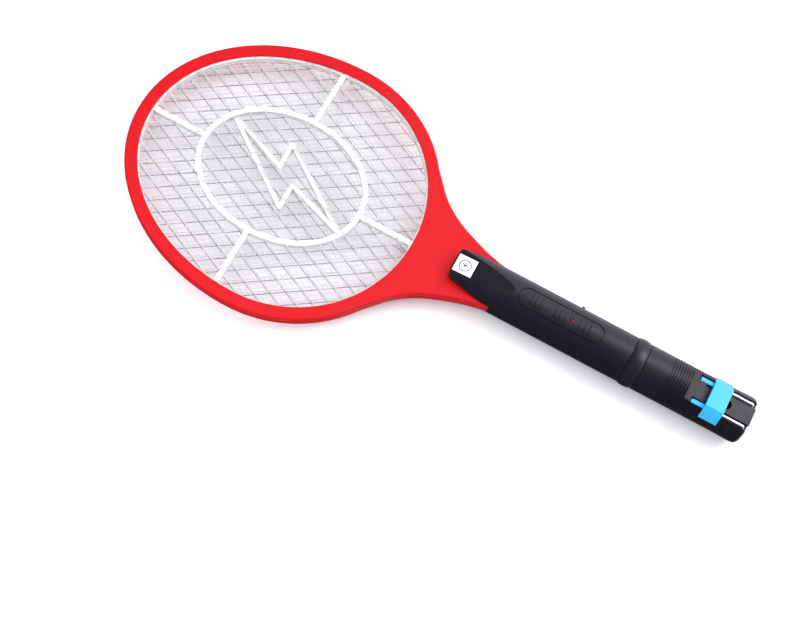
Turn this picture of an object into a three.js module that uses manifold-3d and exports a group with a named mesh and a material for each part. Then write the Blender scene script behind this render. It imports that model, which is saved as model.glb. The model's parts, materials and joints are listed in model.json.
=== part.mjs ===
// A rechargeable electric fly swatter. An oval head holds three wire grids between two red
// frames, and a round handle holds the electronics, two cells and a mains plug that slides
// out of the tail. Units are millimetres. The head lies in the XY plane with its middle at
// x = 0, the handle runs along +X, and z = 0 is the plane where the two halves meet. The
// last lines move the whole to a frame that stands on the collar's underside.

import * as THREE from "three";
import { mergeVertices } from "three/addons/utils/BufferGeometryUtils.js";
import Module from "manifold-3d";

const wasm = await Module();
wasm.setup();

const gap = 0.3; // clearance between pieces that nest or touch
const reach = 40; // further than the handle reaches sideways or up
const beyond = 500; // further than the swatter reaches along its length

const head = {
  openX: 115, // half length of the opening
  openY: 101.5, // half width of the opening
  band: 10, // width of the frame round the opening
  widest: 14, // where the head is widest, nearer the handle than the tip
  exponent: 2.02, // 2 is an ellipse, more is squarer
  halfThickness: 6,
  lip: 1.5, // thickness of the lip over the outer grid
  pocket: 4.3, // how far the pocket reaches under the lip
  edge: 1.2, // height of the bevel on the outside edge
  edgeInset: 0.72,
  segments: 52,
};

const throat = {
  start: 60, // inside the oval
  // half of the outline between the oval and the neck
  curve: [[104, 66], [113, 55.5], [124, 44], [141, 33], [165, 23.5], [178, 19.9], [187, 17.9]],
  end: 189.3, // the throat stops here against the tube
  neckHalfWidth: 13.5,
  neckEnd: 212,
  steps: 12,
};

const grid = {
  rim: 3, // width of the rim that the lip covers
  outerWire: 1,
  outerPitch: 20.8, // every second wire of the real grid
  outerAngles: [34.5, -24.8],
  outerLow: 3.4,
  outerHigh: 4.2,
  centerWire: 0.9,
  centerPitch: 28, // every seventh wire of the real grid
  centerAngles: [37.6, -34.6],
  centerHalf: 0.45,
  tabLength: 5,
  tabWidth: 3,
};

const spacer = {
  low: 0.75,
  high: 3.1,
  inward: 1, // how far the rim shows inside the opening
  ovalX: 68,
  ovalY: 52,
  ovalSegments: 40,
  stroke: 4,
  boltStroke: 3.6,
  strokeEnd: 0.25, // how far a stroke runs past its ends, in its own widths
  bolt: [[-57, 26], [-5, 6], [-6, 27.5], [61, -20], [11, -3], [11.5, -24]],
};

const lead = { outerY: -4, centerY: 4, radius: 0.7, groove: 1.1 };
const link = { inset: 1.5, half: 0.5, halfWidth: 1.2 };
const terminal = { x: 111.4, y: -9, radius: 2.3, hole: 1.3, tail: 9, wireHalf: 0.4, thickness: 0.6 };

const handle = {
  radius: 18.6,
  wall: 2.4,
  tip: 150.5, // front end of the flat nose that lies on the throat
  tipHalfWidth: 12,
  corner: 5,
  cornerRise: 0.6,
  full: 191, // the nose reaches the tube's full width here
  facetTip: 14.3, // height of the sloping flat at the tip
  facetEnd: 201.5, // where the flat runs out at the top of the tube
  shellEnd: 384,
  end: 400.8,
  segments: 32,
};
const rib = { cells: [305, 333], board: [232, 277], thickness: 1.5, sink: 0.2 };
const facetRise = (handle.radius - handle.facetTip) / (handle.facetEnd - handle.tip);

// The swell's points are [distance from an end, share of the full height].
const collar = { start: 300.4, end: 312.1, seat: 17.4, proud: 1, swell: [[2, 0.7], [4, 1]] };

const bed = {
  start: 349, // the flat on which the plug slides
  top: 14.5,
  deck: 3,
  slotStart: 354,
  slotInner: 7,
  slotOuter: 12,
  slotFloor: 9.6, // lowest point of the channels at the tail's end wall
  cutBelow: 8, // the channels are cut to this depth under the deck's top
  recessStart: 360,
  recessEnd: 369,
  recessHalfWidth: 6.6,
  notchX: 379.2,
  notchRadius: 4.1,
  recessDepth: 2,
};

const cap = {
  start: 384.3,
  swell: 0.3,
  swellLength: 5,
  nose: [[3, 0.6], [1, 1.8], [0, 3.4]], // [distance before the end, drop below the tube]
  swellEnd: 6, // distance before the end
  endWall: 2.6,
  spigotStart: 378.3,
  spigotTop: 5.5,
  spigotWall: 1.6,
  spigotRoot: 3, // how far the spigot runs into the cup
  throatInset: 1, // the root's distance below the cup's outside
  channelOverlap: 0.5,
};

const plug = {
  bridge: [365, 379.5],
  topHalfWidth: 9.7,
  top: 19.1,
  footHalfWidth: 17.4,
  foot: 9.3,
  legStart: 355,
  legHalfWidth: 1.65,
  legTop: 13.8,
  carriage: [357, 376.5],
  carriageHalfWidth: 11.2,
  carriageLow: 7,
  pinY: 9.5,
  pinZ: 12.6,
  pinRadius: 2,
  pinEnd: 398.3,
  pinRound: 1,
  webClearance: 0.4,
  studStart: 366.5,
  studRadius: 1.1,
};

const contact = { start: 372, end: 396, halfWidth: 2, thickness: 0.5, drop: 4 };

const label = { x: 159.4, length: 15.5, width: 14.5, thickness: 0.4, recess: 0.5 };
const led = { x: 249.4, radius: 1.5, top: 18.9, flange: 0.4, flangeZ: [13, 14], legSpacing: 2.54 };

// The side controls stand on the +Y side, on the plane where the shells meet.
const slide = {
  travel: 3,
  nubHalf: 1.25,
  nubHeight: 0.85, // half of it
  chamfer: [0.6, 0.8],
  baseGrow: 0.5,
  baseHeight: 1.4, // half of it
  slotHeight: 1.2, // half of it
  bodyLength: 8.6,
  bodyY: [11.3, 15.3],
  bodyHalf: 2.3,
  pocketDepth: 1.7,
  pocketHalf: 1.7,
  legs: [1.6, 4.2, 6.8], // from the body's start
};
const slideSwitches = [
  { name: "power_switch", x: 254, top: 21.2, color: 0x17171b },
  { name: "mode_switch", x: 263, top: 19.7, color: 0xb8323c },
];
const trigger = {
  x: 276.5,
  halfLength: 4.5,
  halfHeight: 2.5,
  top: 19,
  chamfer: [1, 0.7],
  flange: 1.2,
  flangeHeight: 0.8,
  flangeY: [13.6, 14.9],
};
const triggerSwitch = {
  halfLength: 3,
  y: [8.4, 12],
  z: [-2.3, 3.3],
  stemY: [11.5, 12.6],
  stemZ: 0.5,
  stem: 1.6, // radius
};

const wire = 0.25; // half the thickness of a component's leg
const board = { start: 224, end: 286, halfWidth: 12.3, low: -4.2, top: -2.6, notch: [6, 2.5] };
const core = {
  x: 237,
  halfLength: 8,
  halfWidth: 6.5,
  low: -2.3,
  high: 9.7,
  leg: 2.2, // half width of the middle leg, and width of the outer ones
  window: [0.5, 7],
  bulge: 2.6, // how far the winding stands past the core
};
const capacitors = [
  { name: "high_voltage_capacitor", x: [252, 270], y: [-10.5, -2.5], height: 10 },
  { name: "multiplier_capacitor", x: [253, 263], y: [2, 8], height: 8 },
];
const capacitorEdge = { inset: 0.6, height: 1 };
const transistor = { x: 273, y: -6, radius: 2.4, z: [2, 7], flat: 1.2, legSpacing: 1.27 };
const axialParts = [
  { name: "rectifier_diode_1", x: 271, y: 4.2, radius: 1.2, length: 4.5, color: 0x151517 },
  { name: "rectifier_diode_2", x: 271, y: 0.8, radius: 1.2, length: 4.5, color: 0x151517 },
  { name: "charging_resistor", x: 280, y: -7, radius: 1.1, length: 5.5, color: 0xb87646 },
  { name: "discharge_resistor", x: 280, y: -3.2, radius: 1.1, length: 5.5, color: 0xb87646 },
];
const axialLegs = 1.5; // from a component's end to its bent leg

const screw = {
  headRadius: 2.6,
  headHeight: 1.9,
  shankRadius: 1.2,
  clearance: 0.3,
  boss: 3.2,
  recess: [1.5, 0.35], // half length and half width of the cross
  recessDepth: 0.9,
};
const handleScrews = [218, 290, 350.5].map((x) => ({ x, y: 0, seat: -15, tip: 8 }));
const neckScrews = [-8.5, 8.5].map((y) => ({ x: 168, y, seat: -12.8, tip: 10.5 }));
const cell = { start: 295.4, length: 48.6, radius: 7.1, y: 7.6, nub: 2.7, nubHeight: 1 };
const tab = { thickness: 0.4, halfWidth: 3, halfHeight: 4 };

const colors = {
  frame: 0xe92c3d,
  spacer: 0xf2f2ee,
  wire: 0xb9bcc0,
  shell: 0x1d1c21,
  collar: 0x201f24,
  label: 0xf7f7f5,
  slider: 0x3fc4ea,
  brass: 0xcfd0d0,
  board: 0x2f6b3a,
  ferrite: 0x3b3b3e,
  winding: 0xd8b13c,
  film: 0x9c3a2e,
  black: 0x151517,
  cell: 0x3f8f58,
  copper: 0xb87646,
  red: 0xd8202a,
  steel: 0xa8abb0,
};

// Solids: three.js geometry to manifold and back

function solidFrom(geometry) {
  const plain = geometry.index ? geometry.toNonIndexed() : geometry.clone();
  plain.deleteAttribute("normal");
  plain.deleteAttribute("uv");
  const merged = mergeVertices(plain, 1e-4);
  const triVerts = new Uint32Array(merged.index.array);
  const vertProperties = new Float32Array(merged.attributes.position.array);
  const solid = new wasm.Manifold(new wasm.Mesh({ numProp: 3, vertProperties, triVerts }));
  if (solid.volume() > 0) return solid;
  const flipped = triVerts.slice().reverse();
  return new wasm.Manifold(new wasm.Mesh({ numProp: 3, vertProperties, triVerts: flipped }));
}

function geometryFrom(solid) {
  const mesh = solid.getMesh();
  const geometry = new THREE.BufferGeometry();
  geometry.setAttribute("position", new THREE.BufferAttribute(mesh.vertProperties, 3));
  geometry.setIndex(new THREE.BufferAttribute(mesh.triVerts, 1));
  geometry.computeVertexNormals();
  return geometry;
}

const join = (first, ...others) => others.reduce((sum, other) => sum.add(other), first);
const cut = (first, ...others) => others.reduce((rest, other) => rest.subtract(other), first);

function block([x0, x1], [y0, y1], [z0, z1]) {
  const box = new THREE.BoxGeometry(x1 - x0, y1 - y0, z1 - z0);
  return solidFrom(box.translate((x0 + x1) / 2, (y0 + y1) / 2, (z0 + z1) / 2));
}

// A round bar along X, Y or Z. at gives the two other coordinates in X, Y, Z order.
function bar(axis, [from, to], at, radius, segments = 16) {
  const geometry = new THREE.CylinderGeometry(radius, radius, to - from, segments);
  const middle = (from + to) / 2;
  if (axis === "x") return solidFrom(geometry.rotateZ(Math.PI / 2).translate(middle, at[0], at[1]));
  if (axis === "y") return solidFrom(geometry.translate(at[0], middle, at[1]));
  return solidFrom(geometry.rotateX(Math.PI / 2).translate(at[0], at[1], middle));
}

function extruded(points, depth, holes = []) {
  const shape = new THREE.Shape(points.map(([u, v]) => new THREE.Vector2(u, v)));
  shape.holes = holes.map((hole) => new THREE.Path(hole.map(([u, v]) => new THREE.Vector2(u, v))));
  return new THREE.ExtrudeGeometry(shape, { depth, bevelEnabled: false });
}

// An outline in XY, raised from z0 to z1.
function plate(points, [z0, z1], holes) {
  return solidFrom(extruded(points, z1 - z0, holes).translate(0, 0, z0));
}

// An outline in XZ, spread from y0 to y1.
function sidePlate(points, [y0, y1]) {
  return solidFrom(extruded(points, y1 - y0).rotateX(Math.PI / 2).translate(0, y1, 0));
}

// An outline in YZ, spread from x0 to x1.
function crossPlate(points, [x0, x1]) {
  const turn = new THREE.Matrix4().makeBasis(
    new THREE.Vector3(0, 1, 0),
    new THREE.Vector3(0, 0, 1),
    new THREE.Vector3(1, 0, 0),
  );
  return solidFrom(extruded(points, x1 - x0).applyMatrix4(turn).translate(x0, 0, 0));
}

// A profile of [x, radius] points turned about the handle's axis.
function turned(profile, segments = handle.segments) {
  const points = profile.map(([x, radius]) => new THREE.Vector2(radius, x));
  return solidFrom(new THREE.LatheGeometry(points, segments).rotateZ(-Math.PI / 2));
}

// Outlines

// An oval that is widest at x = widest, between the ends at x = -halfX and x = halfX.
function egg(halfX, halfY, widest, segments) {
  const power = 2 / head.exponent;
  return Array.from({ length: segments }, (_, i) => {
    const angle = (2 * Math.PI * i) / segments;
    const c = Math.cos(angle);
    const s = Math.sin(angle);
    const length = halfX - Math.sign(c) * widest;
    return [
      widest + length * Math.sign(c) * Math.abs(c) ** power,
      halfY * Math.sign(s) * Math.abs(s) ** power,
    ];
  });
}

// The head's oval, larger or smaller than the opening by grow.
function oval(grow) {
  return egg(head.openX + grow, head.openY + grow, head.widest, head.segments);
}

// The throat's outline with its neck, inset all round by inset.
function throatOutline(inset) {
  const curve = new THREE.SplineCurve(throat.curve.map(([x, y]) => new THREE.Vector2(x, y)));
  const side = curve.getPoints(throat.steps).map(({ x, y }) => [x, y - inset]);
  const upper = [[throat.start, side[0][1]], ...side, [throat.end, side.at(-1)[1]]];
  upper.push([throat.end, throat.neckHalfWidth], [throat.neckEnd, throat.neckHalfWidth]);
  const lower = upper.map(([x, y]) => [x, -y]).reverse();
  return [...lower, ...upper];
}

// Head

function frameHalf() {
  const flat = [gap / 2, head.halfThickness - head.edge];
  const edge = [flat[1] - 0.01, head.halfThickness]; // the two layers share a thin slice
  const opening = plate(oval(0), [-1, reach]);
  const pocketTop = head.halfThickness - head.lip;
  const pocket = plate(oval(head.pocket), [-1, pocketTop]);
  const oneHalf = (range, inset) =>
    join(plate(oval(head.band - inset), range), plate(throatOutline(inset), range));
  const body = join(oneHalf(flat, 0), oneHalf(edge, head.edgeInset));
  const grooves = [lead.outerY, lead.centerY].map((y) =>
    block([head.openX, throat.neckEnd + 1], [y - lead.groove, y + lead.groove], [-1, lead.groove]),
  );
  const tabEnd = head.openX + head.pocket + grid.tabLength + gap;
  const tabPocket = block(
    [head.openX, tabEnd],
    [lead.outerY - grid.tabWidth / 2 - gap, lead.outerY + grid.tabWidth / 2 + gap],
    [-1, pocketTop],
  );
  const centerPocket = block(
    [head.openX, tabEnd],
    [lead.centerY - grid.tabWidth / 2 - gap, lead.centerY + grid.tabWidth / 2 + gap],
    [-1, grid.centerHalf + gap],
  );
  const holes = neckScrews.map(({ x, y }) =>
    bar("z", [-1, reach], [x, y], screw.shankRadius + screw.clearance, 12),
  );
  return cut(body, opening, pocket, ...grooves, tabPocket, centerPocket, ...holes);
}

// A grid of crossed wires in a rim. Both wire directions lie in one plane and are joined.
function wireGrid(pitch, width, angles, [z0, z1], tabY) {
  const inner = plate(oval(head.pocket - gap), [z0, z1]);
  const span = head.openX + head.openY;
  const wires = angles.flatMap((angle) => {
    const count = Math.floor(head.openX / pitch);
    return Array.from({ length: 2 * count + 1 }, (_, i) => {
      const offset = (i - count) * pitch;
      const strand = new THREE.BoxGeometry(span * 2, width, z1 - z0);
      strand.translate(0, offset, (z0 + z1) / 2).rotateZ(THREE.MathUtils.degToRad(angle));
      return solidFrom(strand);
    });
  });
  const rim = cut(inner, plate(oval(head.pocket - gap - grid.rim), [z0 - 1, z1 + 1]));
  const edge = head.openX + head.pocket;
  const foot = block(
    [edge - grid.rim, edge + grid.tabLength],
    [tabY - grid.tabWidth / 2, tabY + grid.tabWidth / 2],
    [z0, z1],
  );
  return join(join(...wires).intersect(inner), rim, foot);
}

// One straight stroke of the emblem. It runs a little past its ends, into its neighbours.
function stroke([x0, y0], [x1, y1], width, [z0, z1]) {
  const length = Math.hypot(x1 - x0, y1 - y0) + 2 * spacer.strokeEnd * width;
  const strip = new THREE.BoxGeometry(length, width, z1 - z0);
  strip.rotateZ(Math.atan2(y1 - y0, x1 - x0));
  return solidFrom(strip.translate((x0 + x1) / 2, (y0 + y1) / 2, (z0 + z1) / 2));
}

function spacerHalf() {
  const range = [spacer.low, spacer.high];
  const half = spacer.stroke / 2;
  const ring = (outer, inner) => cut(plate(outer, range), plate(inner, [range[0] - 1, range[1] + 1]));
  const rim = ring(oval(head.pocket - gap), oval(-spacer.inward));
  const badgeOval = (grow) => egg(spacer.ovalX + grow, spacer.ovalY + grow, 0, spacer.ovalSegments);
  const badge = ring(badgeOval(half), badgeOval(-half));
  const spokes = [[1, 0], [-1, 0], [0, 1], [0, -1]].map(([u, v]) =>
    stroke(
      [u * spacer.ovalX, v * spacer.ovalY],
      [u * (head.openX + 1), v * (head.openY + 1)],
      spacer.stroke,
      range,
    ),
  );
  const bolt = spacer.bolt.map((point, i) =>
    stroke(point, spacer.bolt[(i + 1) % spacer.bolt.length], spacer.boltStroke, range),
  );
  return join(rim, badge, ...spokes, ...bolt);
}

// An eyelet on the edge of the front grid, with the start of its wire.
function meshTerminal() {
  const { x, y, radius, hole, tail, wireHalf, thickness } = terminal;
  const low = grid.outerHigh + gap;
  const range = [low, low + thickness];
  const ring = cut(bar("z", range, [x, y], radius), bar("z", [0, reach], [x, y], hole, 12));
  return join(ring, block([x - tail, x - (radius + hole) / 2], [y - wireHalf, y + wireHalf], range));
}

// The strip that joins the two outer grids inside the throat.
function gridLink() {
  const x = head.openX + head.pocket + grid.tabLength - link.inset;
  const end = grid.outerLow - gap;
  const y = [lead.outerY - link.halfWidth, lead.outerY + link.halfWidth];
  return block([x - link.half, x + link.half], y, [-end, end]);
}

function gridLead(y) {
  const start = head.openX + head.pocket + grid.tabLength + gap;
  return bar("x", [start + gap, board.start - gap], [y, 0], lead.radius, 8);
}

// Handle

// The handle's outer form, inset all round by inset, up to x = end.
function handleForm(inset, end) {
  const start = handle.tip + inset;
  const radius = handle.radius - inset;
  const half = handle.tipHalfWidth - inset;
  const wide = radius + 1; // clear of the tube
  const tube = turned([[start - 1, 0], [start - 1, radius], [end, radius], [end, 0]]);
  const outline = new THREE.Shape();
  outline.moveTo(start, 0);
  outline.lineTo(start, half - handle.corner);
  outline.quadraticCurveTo(start, half, start + handle.corner, half + handle.cornerRise);
  outline.lineTo(handle.full, wide);
  outline.lineTo(end + 1, wide);
  const upper = outline.getPoints(5).map(({ x, y }) => [x, y]);
  const lower = upper.slice(1).map(([x, y]) => [x, -y]).reverse();
  const plan = plate([...lower, ...upper], [-wide, wide]);
  const front = handle.tip - 1;
  const wedge = [[front, handle.facetTip - inset], [handle.facetEnd, radius]];
  wedge.push([handle.facetEnd, reach], [front, reach]);
  const under = wedge.map(([x, z]) => [x, -z]);
  const across = [-reach, reach];
  return cut(tube.intersect(plan), sidePlate(wedge, across), sidePlate(under, across));
}

// The skin of both shells together, with the seat for the collar and room for the throat.
function skin() {
  const outer = handleForm(0, handle.shellEnd);
  const inner = handleForm(handle.wall, handle.shellEnd + 1);
  const ring = [[collar.start, collar.seat], [collar.start, reach], [collar.end, reach]];
  ring.push([collar.end, collar.seat], [collar.start, collar.seat]);
  const throatRoom = head.halfThickness + gap;
  const slot = block([handle.tip - 1, throat.end + gap], [-reach, reach], [-throatRoom, throatRoom]);
  return cut(outer, inner, turned(ring), slot);
}

// Openings in the side wall for the two slide switches and the push button.
function sideOpenings() {
  const y = [handle.radius - handle.wall - 2, reach];
  const slots = slideSwitches.map(({ x }) => {
    const side = slide.nubHalf + gap;
    return block([x - side, x + slide.travel + side], y, [-slide.slotHeight, slide.slotHeight]);
  });
  const side = trigger.halfLength + gap;
  const height = trigger.halfHeight + gap;
  return [...slots, block([trigger.x - side, trigger.x + side], y, [-height, height])];
}

// Cross ribs that hold the cells, and in the rear shell also the board.
function ribs(side) {
  const inside = handleForm(handle.wall - rib.sink, handle.shellEnd);
  const low = gap / 2;
  const high = handle.radius;
  const half = side > 0 ? [low, high] : [-high, -low];
  const saddle = rib.cells.map((x) => block([x, x + rib.thickness], [-reach, reach], half));
  const length = [cell.start, cell.start + cell.length];
  const seats = [-cell.y, cell.y].map((y) => bar("x", length, [y, 0], cell.radius + gap, 20));
  const cellRibs = cut(join(...saddle).intersect(inside), ...seats);
  if (side > 0) return cellRibs;
  const boardRibs = rib.board.map((x) =>
    block([x, x + rib.thickness], [-reach, reach], [-high, board.low - gap]).intersect(inside),
  );
  return join(cellRibs, ...boardRibs);
}

function bosses(side) {
  const inside = handleForm(handle.wall - rib.sink, handle.shellEnd);
  const post = ({ x, y }, start) => {
    const range = side > 0 ? [start, handle.radius] : [-handle.radius, -start];
    return bar("z", range, [x, y], screw.boss).intersect(inside);
  };
  return [
    ...handleScrews.map((place) => post(place, gap / 2)),
    ...neckScrews.map((place) => post(place, head.halfThickness + gap)),
  ];
}

function screwHoles() {
  return [...handleScrews, ...neckScrews].flatMap(({ x, y, seat, tip }) => [
    bar("z", [-reach, tip + 1], [x, y], screw.shankRadius + screw.clearance, 12),
    bar("z", [-reach, seat], [x, y], screw.headRadius + screw.clearance),
  ]);
}

// The flat deck that the plug slides on, with its two channels and its middle recess.
function deck() {
  const under = bed.top - bed.deck;
  const outer = handleForm(0, handle.shellEnd);
  const floor = block([bed.start - handle.wall, handle.shellEnd], [-reach, reach], [under, bed.top]);
  const step = block([bed.start - handle.wall, bed.start], [-reach, reach], [under, reach]);
  return join(floor, step).intersect(outer);
}

function deckCuts() {
  const above = block([bed.start, beyond], [-reach, reach], [bed.top, reach]);
  const channels = [-1, 1].map((side) => {
    const y = [side * bed.slotInner, side * bed.slotOuter].sort((a, b) => a - b);
    return block([bed.slotStart, handle.end + 1], y, [bed.top - bed.cutBelow, reach]);
  });
  const range = [bed.top - bed.recessDepth, reach];
  const wide = [-bed.recessHalfWidth, bed.recessHalfWidth];
  const recess = block([bed.recessStart, bed.recessEnd], wide, range);
  const narrow = block([bed.recessStart, bed.notchX], [-bed.notchRadius, bed.notchRadius], range);
  const notch = bar("z", [bed.top - bed.deck - 1, reach], [bed.notchX, 0], bed.notchRadius);
  return [above, ...channels, recess, narrow, notch];
}

// Lays a geometry on the front facet at the label's place, raised by height.
function onFacet(geometry, height) {
  const z = handle.facetTip + (label.x - handle.tip) * facetRise;
  return geometry.translate(0, 0, height).rotateY(-Math.atan(facetRise)).translate(label.x, 0, z);
}

function labelRecess() {
  const { length, width, recess } = label;
  return solidFrom(onFacet(new THREE.BoxGeometry(length + 2 * gap, width + 2 * gap, 2 * recess), 0));
}

function labelPlate() {
  const { length, width, thickness, recess } = label;
  return solidFrom(onFacet(new THREE.BoxGeometry(length, width, thickness), gap + thickness / 2 - recess));
}

function frontShell() {
  const half = block([0, beyond], [-reach, reach], [gap / 2, reach]);
  const body = join(skin(), deck(), ribs(1), ...bosses(1)).intersect(half);
  const tongueY = [-bed.slotInner, bed.slotInner];
  const under = bed.top - bed.deck;
  const tongue = block([handle.shellEnd - 1, handle.end], tongueY, [under, bed.top]);
  const ledHole = bar("z", [10, reach], [led.x, 0], led.radius + gap);
  const openings = [...sideOpenings(), ...screwHoles(), ...deckCuts(), ledHole, labelRecess()];
  return cut(join(body, tongue), ...openings);
}

function rearShell() {
  const half = block([0, beyond], [-reach, reach], [-reach, -gap / 2]);
  const body = join(skin(), ribs(-1), ...bosses(-1)).intersect(half);
  return cut(body, ...sideOpenings(), ...screwHoles());
}

function collarRing() {
  const { start, end, seat, proud, swell } = collar;
  const points = [[0, 0], ...swell].map(([distance, share]) => [distance, handle.radius + proud * share]);
  points[0][0] = gap;
  const front = points.map(([distance, radius]) => [start + distance, radius]);
  const back = points.map(([distance, radius]) => [end - distance, radius]).reverse();
  const inner = seat + gap;
  return turned([[start + gap, inner], ...front, ...back, [end - gap, inner], [start + gap, inner]]);
}

// The tail's cup. It is open at the top for the deck's tongue and the two channels.
function tailCap() {
  const { radius, wall, end } = handle;
  const full = radius + cap.swell;
  const outer = [[cap.start, 0], [cap.start, radius]];
  outer.push([cap.start + cap.swellLength, full], [end - cap.swellEnd, full]);
  outer.push(...cap.nose.map(([distance, drop]) => [end - distance, radius - drop]), [end, 0]);
  const floor = end - cap.endWall;
  const cup = cut(turned(outer), turned([[0, 0], [0, radius - wall], [floor, radius - wall], [floor, 0]]));
  const fit = radius - wall - gap;
  const root = cap.start + cap.spigotRoot;
  const thin = fit - cap.spigotWall;
  const sleeve = [[cap.spigotStart, thin], [cap.spigotStart, fit], [cap.start, fit]];
  sleeve.push([root, radius - cap.throatInset], [root, thin], [cap.spigotStart, thin]);
  const lower = block([0, beyond], [-reach, reach], [-reach, cap.spigotTop]);
  const body = join(cup, turned(sleeve).intersect(lower));
  const tongueHalf = bed.slotInner + gap;
  const middle = block([0, beyond], [-tongueHalf, tongueHalf], [bed.top - bed.deck - gap, reach]);
  const channels = [-1, 1].map((side) => {
    const y = [side * (bed.slotInner - cap.channelOverlap), side * bed.slotOuter].sort((a, b) => a - b);
    return block([0, beyond], y, [bed.slotFloor, reach]);
  });
  return cut(body, middle, ...channels);
}

// Plug

function plugSlider() {
  const { bridge, carriage, top, foot } = plug;
  const section = [[-plug.footHalfWidth, foot], [plug.footHalfWidth, foot]];
  section.push([plug.topHalfWidth, top], [-plug.topHalfWidth, top]);
  const under = bar("x", [bridge[0] - 1, bridge[1] + 1], [0, 0], handle.radius + cap.swell + gap, 48);
  const room = under.intersect(block([0, beyond], [-reach, reach], [-reach, bed.top + gap]));
  const saddle = cut(crossPlate(section, bridge), room);
  const slotMiddle = (bed.slotInner + bed.slotOuter) / 2;
  const webHalf = (bed.slotOuter - bed.slotInner) / 2 - plug.webClearance;
  const webLow = bed.slotFloor + gap;
  const webs = [-1, 1].flatMap((side) => {
    const middle = side * slotMiddle;
    const legY = [middle - plug.legHalfWidth, middle + plug.legHalfWidth];
    return [
      block(bridge, [middle - webHalf, middle + webHalf], [webLow, bed.top + 1]),
      block([plug.legStart, bridge[0] + 1], legY, [webLow, plug.legTop]),
    ];
  });
  const width = [-plug.carriageHalfWidth, plug.carriageHalfWidth];
  const shoe = block(carriage, width, [plug.carriageLow, bed.top - bed.deck - gap]);
  const bores = [-1, 1].map((side) =>
    bar("x", [plug.studStart - gap, bridge[1] + 1], [side * plug.pinY, plug.pinZ], plug.studRadius + gap, 12),
  );
  return cut(join(saddle, shoe, ...webs), ...bores);
}

function plugPin(side) {
  const at = [side * plug.pinY, plug.pinZ];
  const start = plug.bridge[1] + gap;
  const shank = bar("x", [start, plug.pinEnd - plug.pinRound], at, plug.pinRadius);
  const overlap = 0.05;
  const nose = new THREE.CylinderGeometry(plug.pinRadius, plug.pinRadius / 2, plug.pinRound + overlap, 16);
  nose.rotateZ(Math.PI / 2).translate(plug.pinEnd - (plug.pinRound + overlap) / 2, ...at);
  return join(shank, solidFrom(nose), bar("x", [plug.studStart, start + 1], at, plug.studRadius, 12));
}

// A spring strip under the carriage that feeds a pin when the plug is out.
function plugContact(side) {
  const { start, end, halfWidth, thickness, drop } = contact;
  const y = [side * plug.pinY - halfWidth, side * plug.pinY + halfWidth];
  const top = plug.carriageLow - gap;
  const strip = block([start, end], y, [top - thickness, top]);
  return join(strip, block([end - thickness, end], y, [top - drop, top]));
}

// Controls

// A thin leg that stands on the board.
function leg(x, y, top) {
  return block([x - wire, x + wire], [y - wire, y + wire], [board.top + gap, top]);
}

function slideBody(x) {
  const start = x + slide.travel / 2 - slide.bodyLength / 2;
  const [y0, y1] = slide.bodyY;
  const body = block([start, start + slide.bodyLength], slide.bodyY, [-slide.bodyHalf, slide.bodyHalf]);
  const side = slide.nubHalf + slide.baseGrow + gap;
  const pocketX = [x - side, x + slide.travel + side];
  const pocket = block(pocketX, [y1 - slide.pocketDepth, y1 + 1], [-slide.pocketHalf, slide.pocketHalf]);
  const legs = slide.legs.map((distance) => leg(start + distance, y0 + 1, 0));
  return join(cut(body, pocket), ...legs);
}

function slideNub(x, top) {
  const { nubHalf, baseGrow, chamfer, nubHeight, baseHeight } = slide;
  const inner = slide.bodyY[1] - slide.pocketDepth + gap;
  const wide = nubHalf + baseGrow;
  const base = block([x - wide, x + wide], [inner, inner + 1], [-baseHeight, baseHeight]);
  const [cutX, cutY] = chamfer;
  const stem = [[x - nubHalf, inner], [x + nubHalf, inner], [x + nubHalf, top - cutY]];
  stem.push([x + nubHalf - cutX, top], [x - nubHalf + cutX, top], [x - nubHalf, top - cutY]);
  return join(base, plate(stem, [-nubHeight, nubHeight]));
}

function triggerButton() {
  const { x, halfLength, halfHeight, top, chamfer, flange, flangeHeight, flangeY } = trigger;
  const [cutX, cutY] = chamfer;
  const low = flangeY[0];
  const outline = [[x - halfLength, low], [x + halfLength, low], [x + halfLength, top - cutY]];
  outline.push([x + halfLength - cutX, top], [x - halfLength + cutX, top], [x - halfLength, top - cutY]);
  const wide = halfLength + flange;
  const tall = halfHeight + flangeHeight;
  return join(plate(outline, [-halfHeight, halfHeight]), block([x - wide, x + wide], flangeY, [-tall, tall]));
}

function triggerSwitchBody() {
  const { halfLength, y, z, stemY, stemZ, stem } = triggerSwitch;
  const body = block([trigger.x - halfLength, trigger.x + halfLength], y, z);
  return join(body, bar("y", stemY, [trigger.x, stemZ], stem, 12));
}

function indicatorLed() {
  const [low, flangeTop] = led.flangeZ;
  const straight = bar("z", [low, led.top - led.radius], [led.x, 0], led.radius);
  const dome = new THREE.SphereGeometry(led.radius, 16, 8);
  dome.rotateX(Math.PI / 2).translate(led.x, 0, led.top - led.radius);
  const rim = bar("z", led.flangeZ, [led.x, 0], led.radius + led.flange);
  const middle = (low + flangeTop) / 2;
  const legs = [-1, 1].map((side) => leg(led.x + (side * led.legSpacing) / 2, 0, middle));
  return join(straight, solidFrom(dome), rim, ...legs);
}

// Electronics

function circuitBoard() {
  const { start, end, halfWidth, low, top, notch } = board;
  const [length, depth] = notch;
  const corners = [-1, 1].map((side) => {
    const edge = side * halfWidth;
    return block([start - 1, start + length], [edge - depth, edge + depth], [low - 1, top + 1]);
  });
  return cut(block([start, end], [-halfWidth, halfWidth], [low, top]), ...corners);
}

function transformerCore() {
  const { x, halfLength, halfWidth, low, high, leg: wall } = core;
  const body = block([x - halfLength, x + halfLength], [-halfWidth, halfWidth], [low, high]);
  const windows = [-1, 1].map((side) => {
    const range = [x + side * wall, x + side * (halfLength - wall)].sort((a, b) => a - b);
    return block(range, [-reach, reach], core.window);
  });
  return cut(body, ...windows);
}

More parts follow.
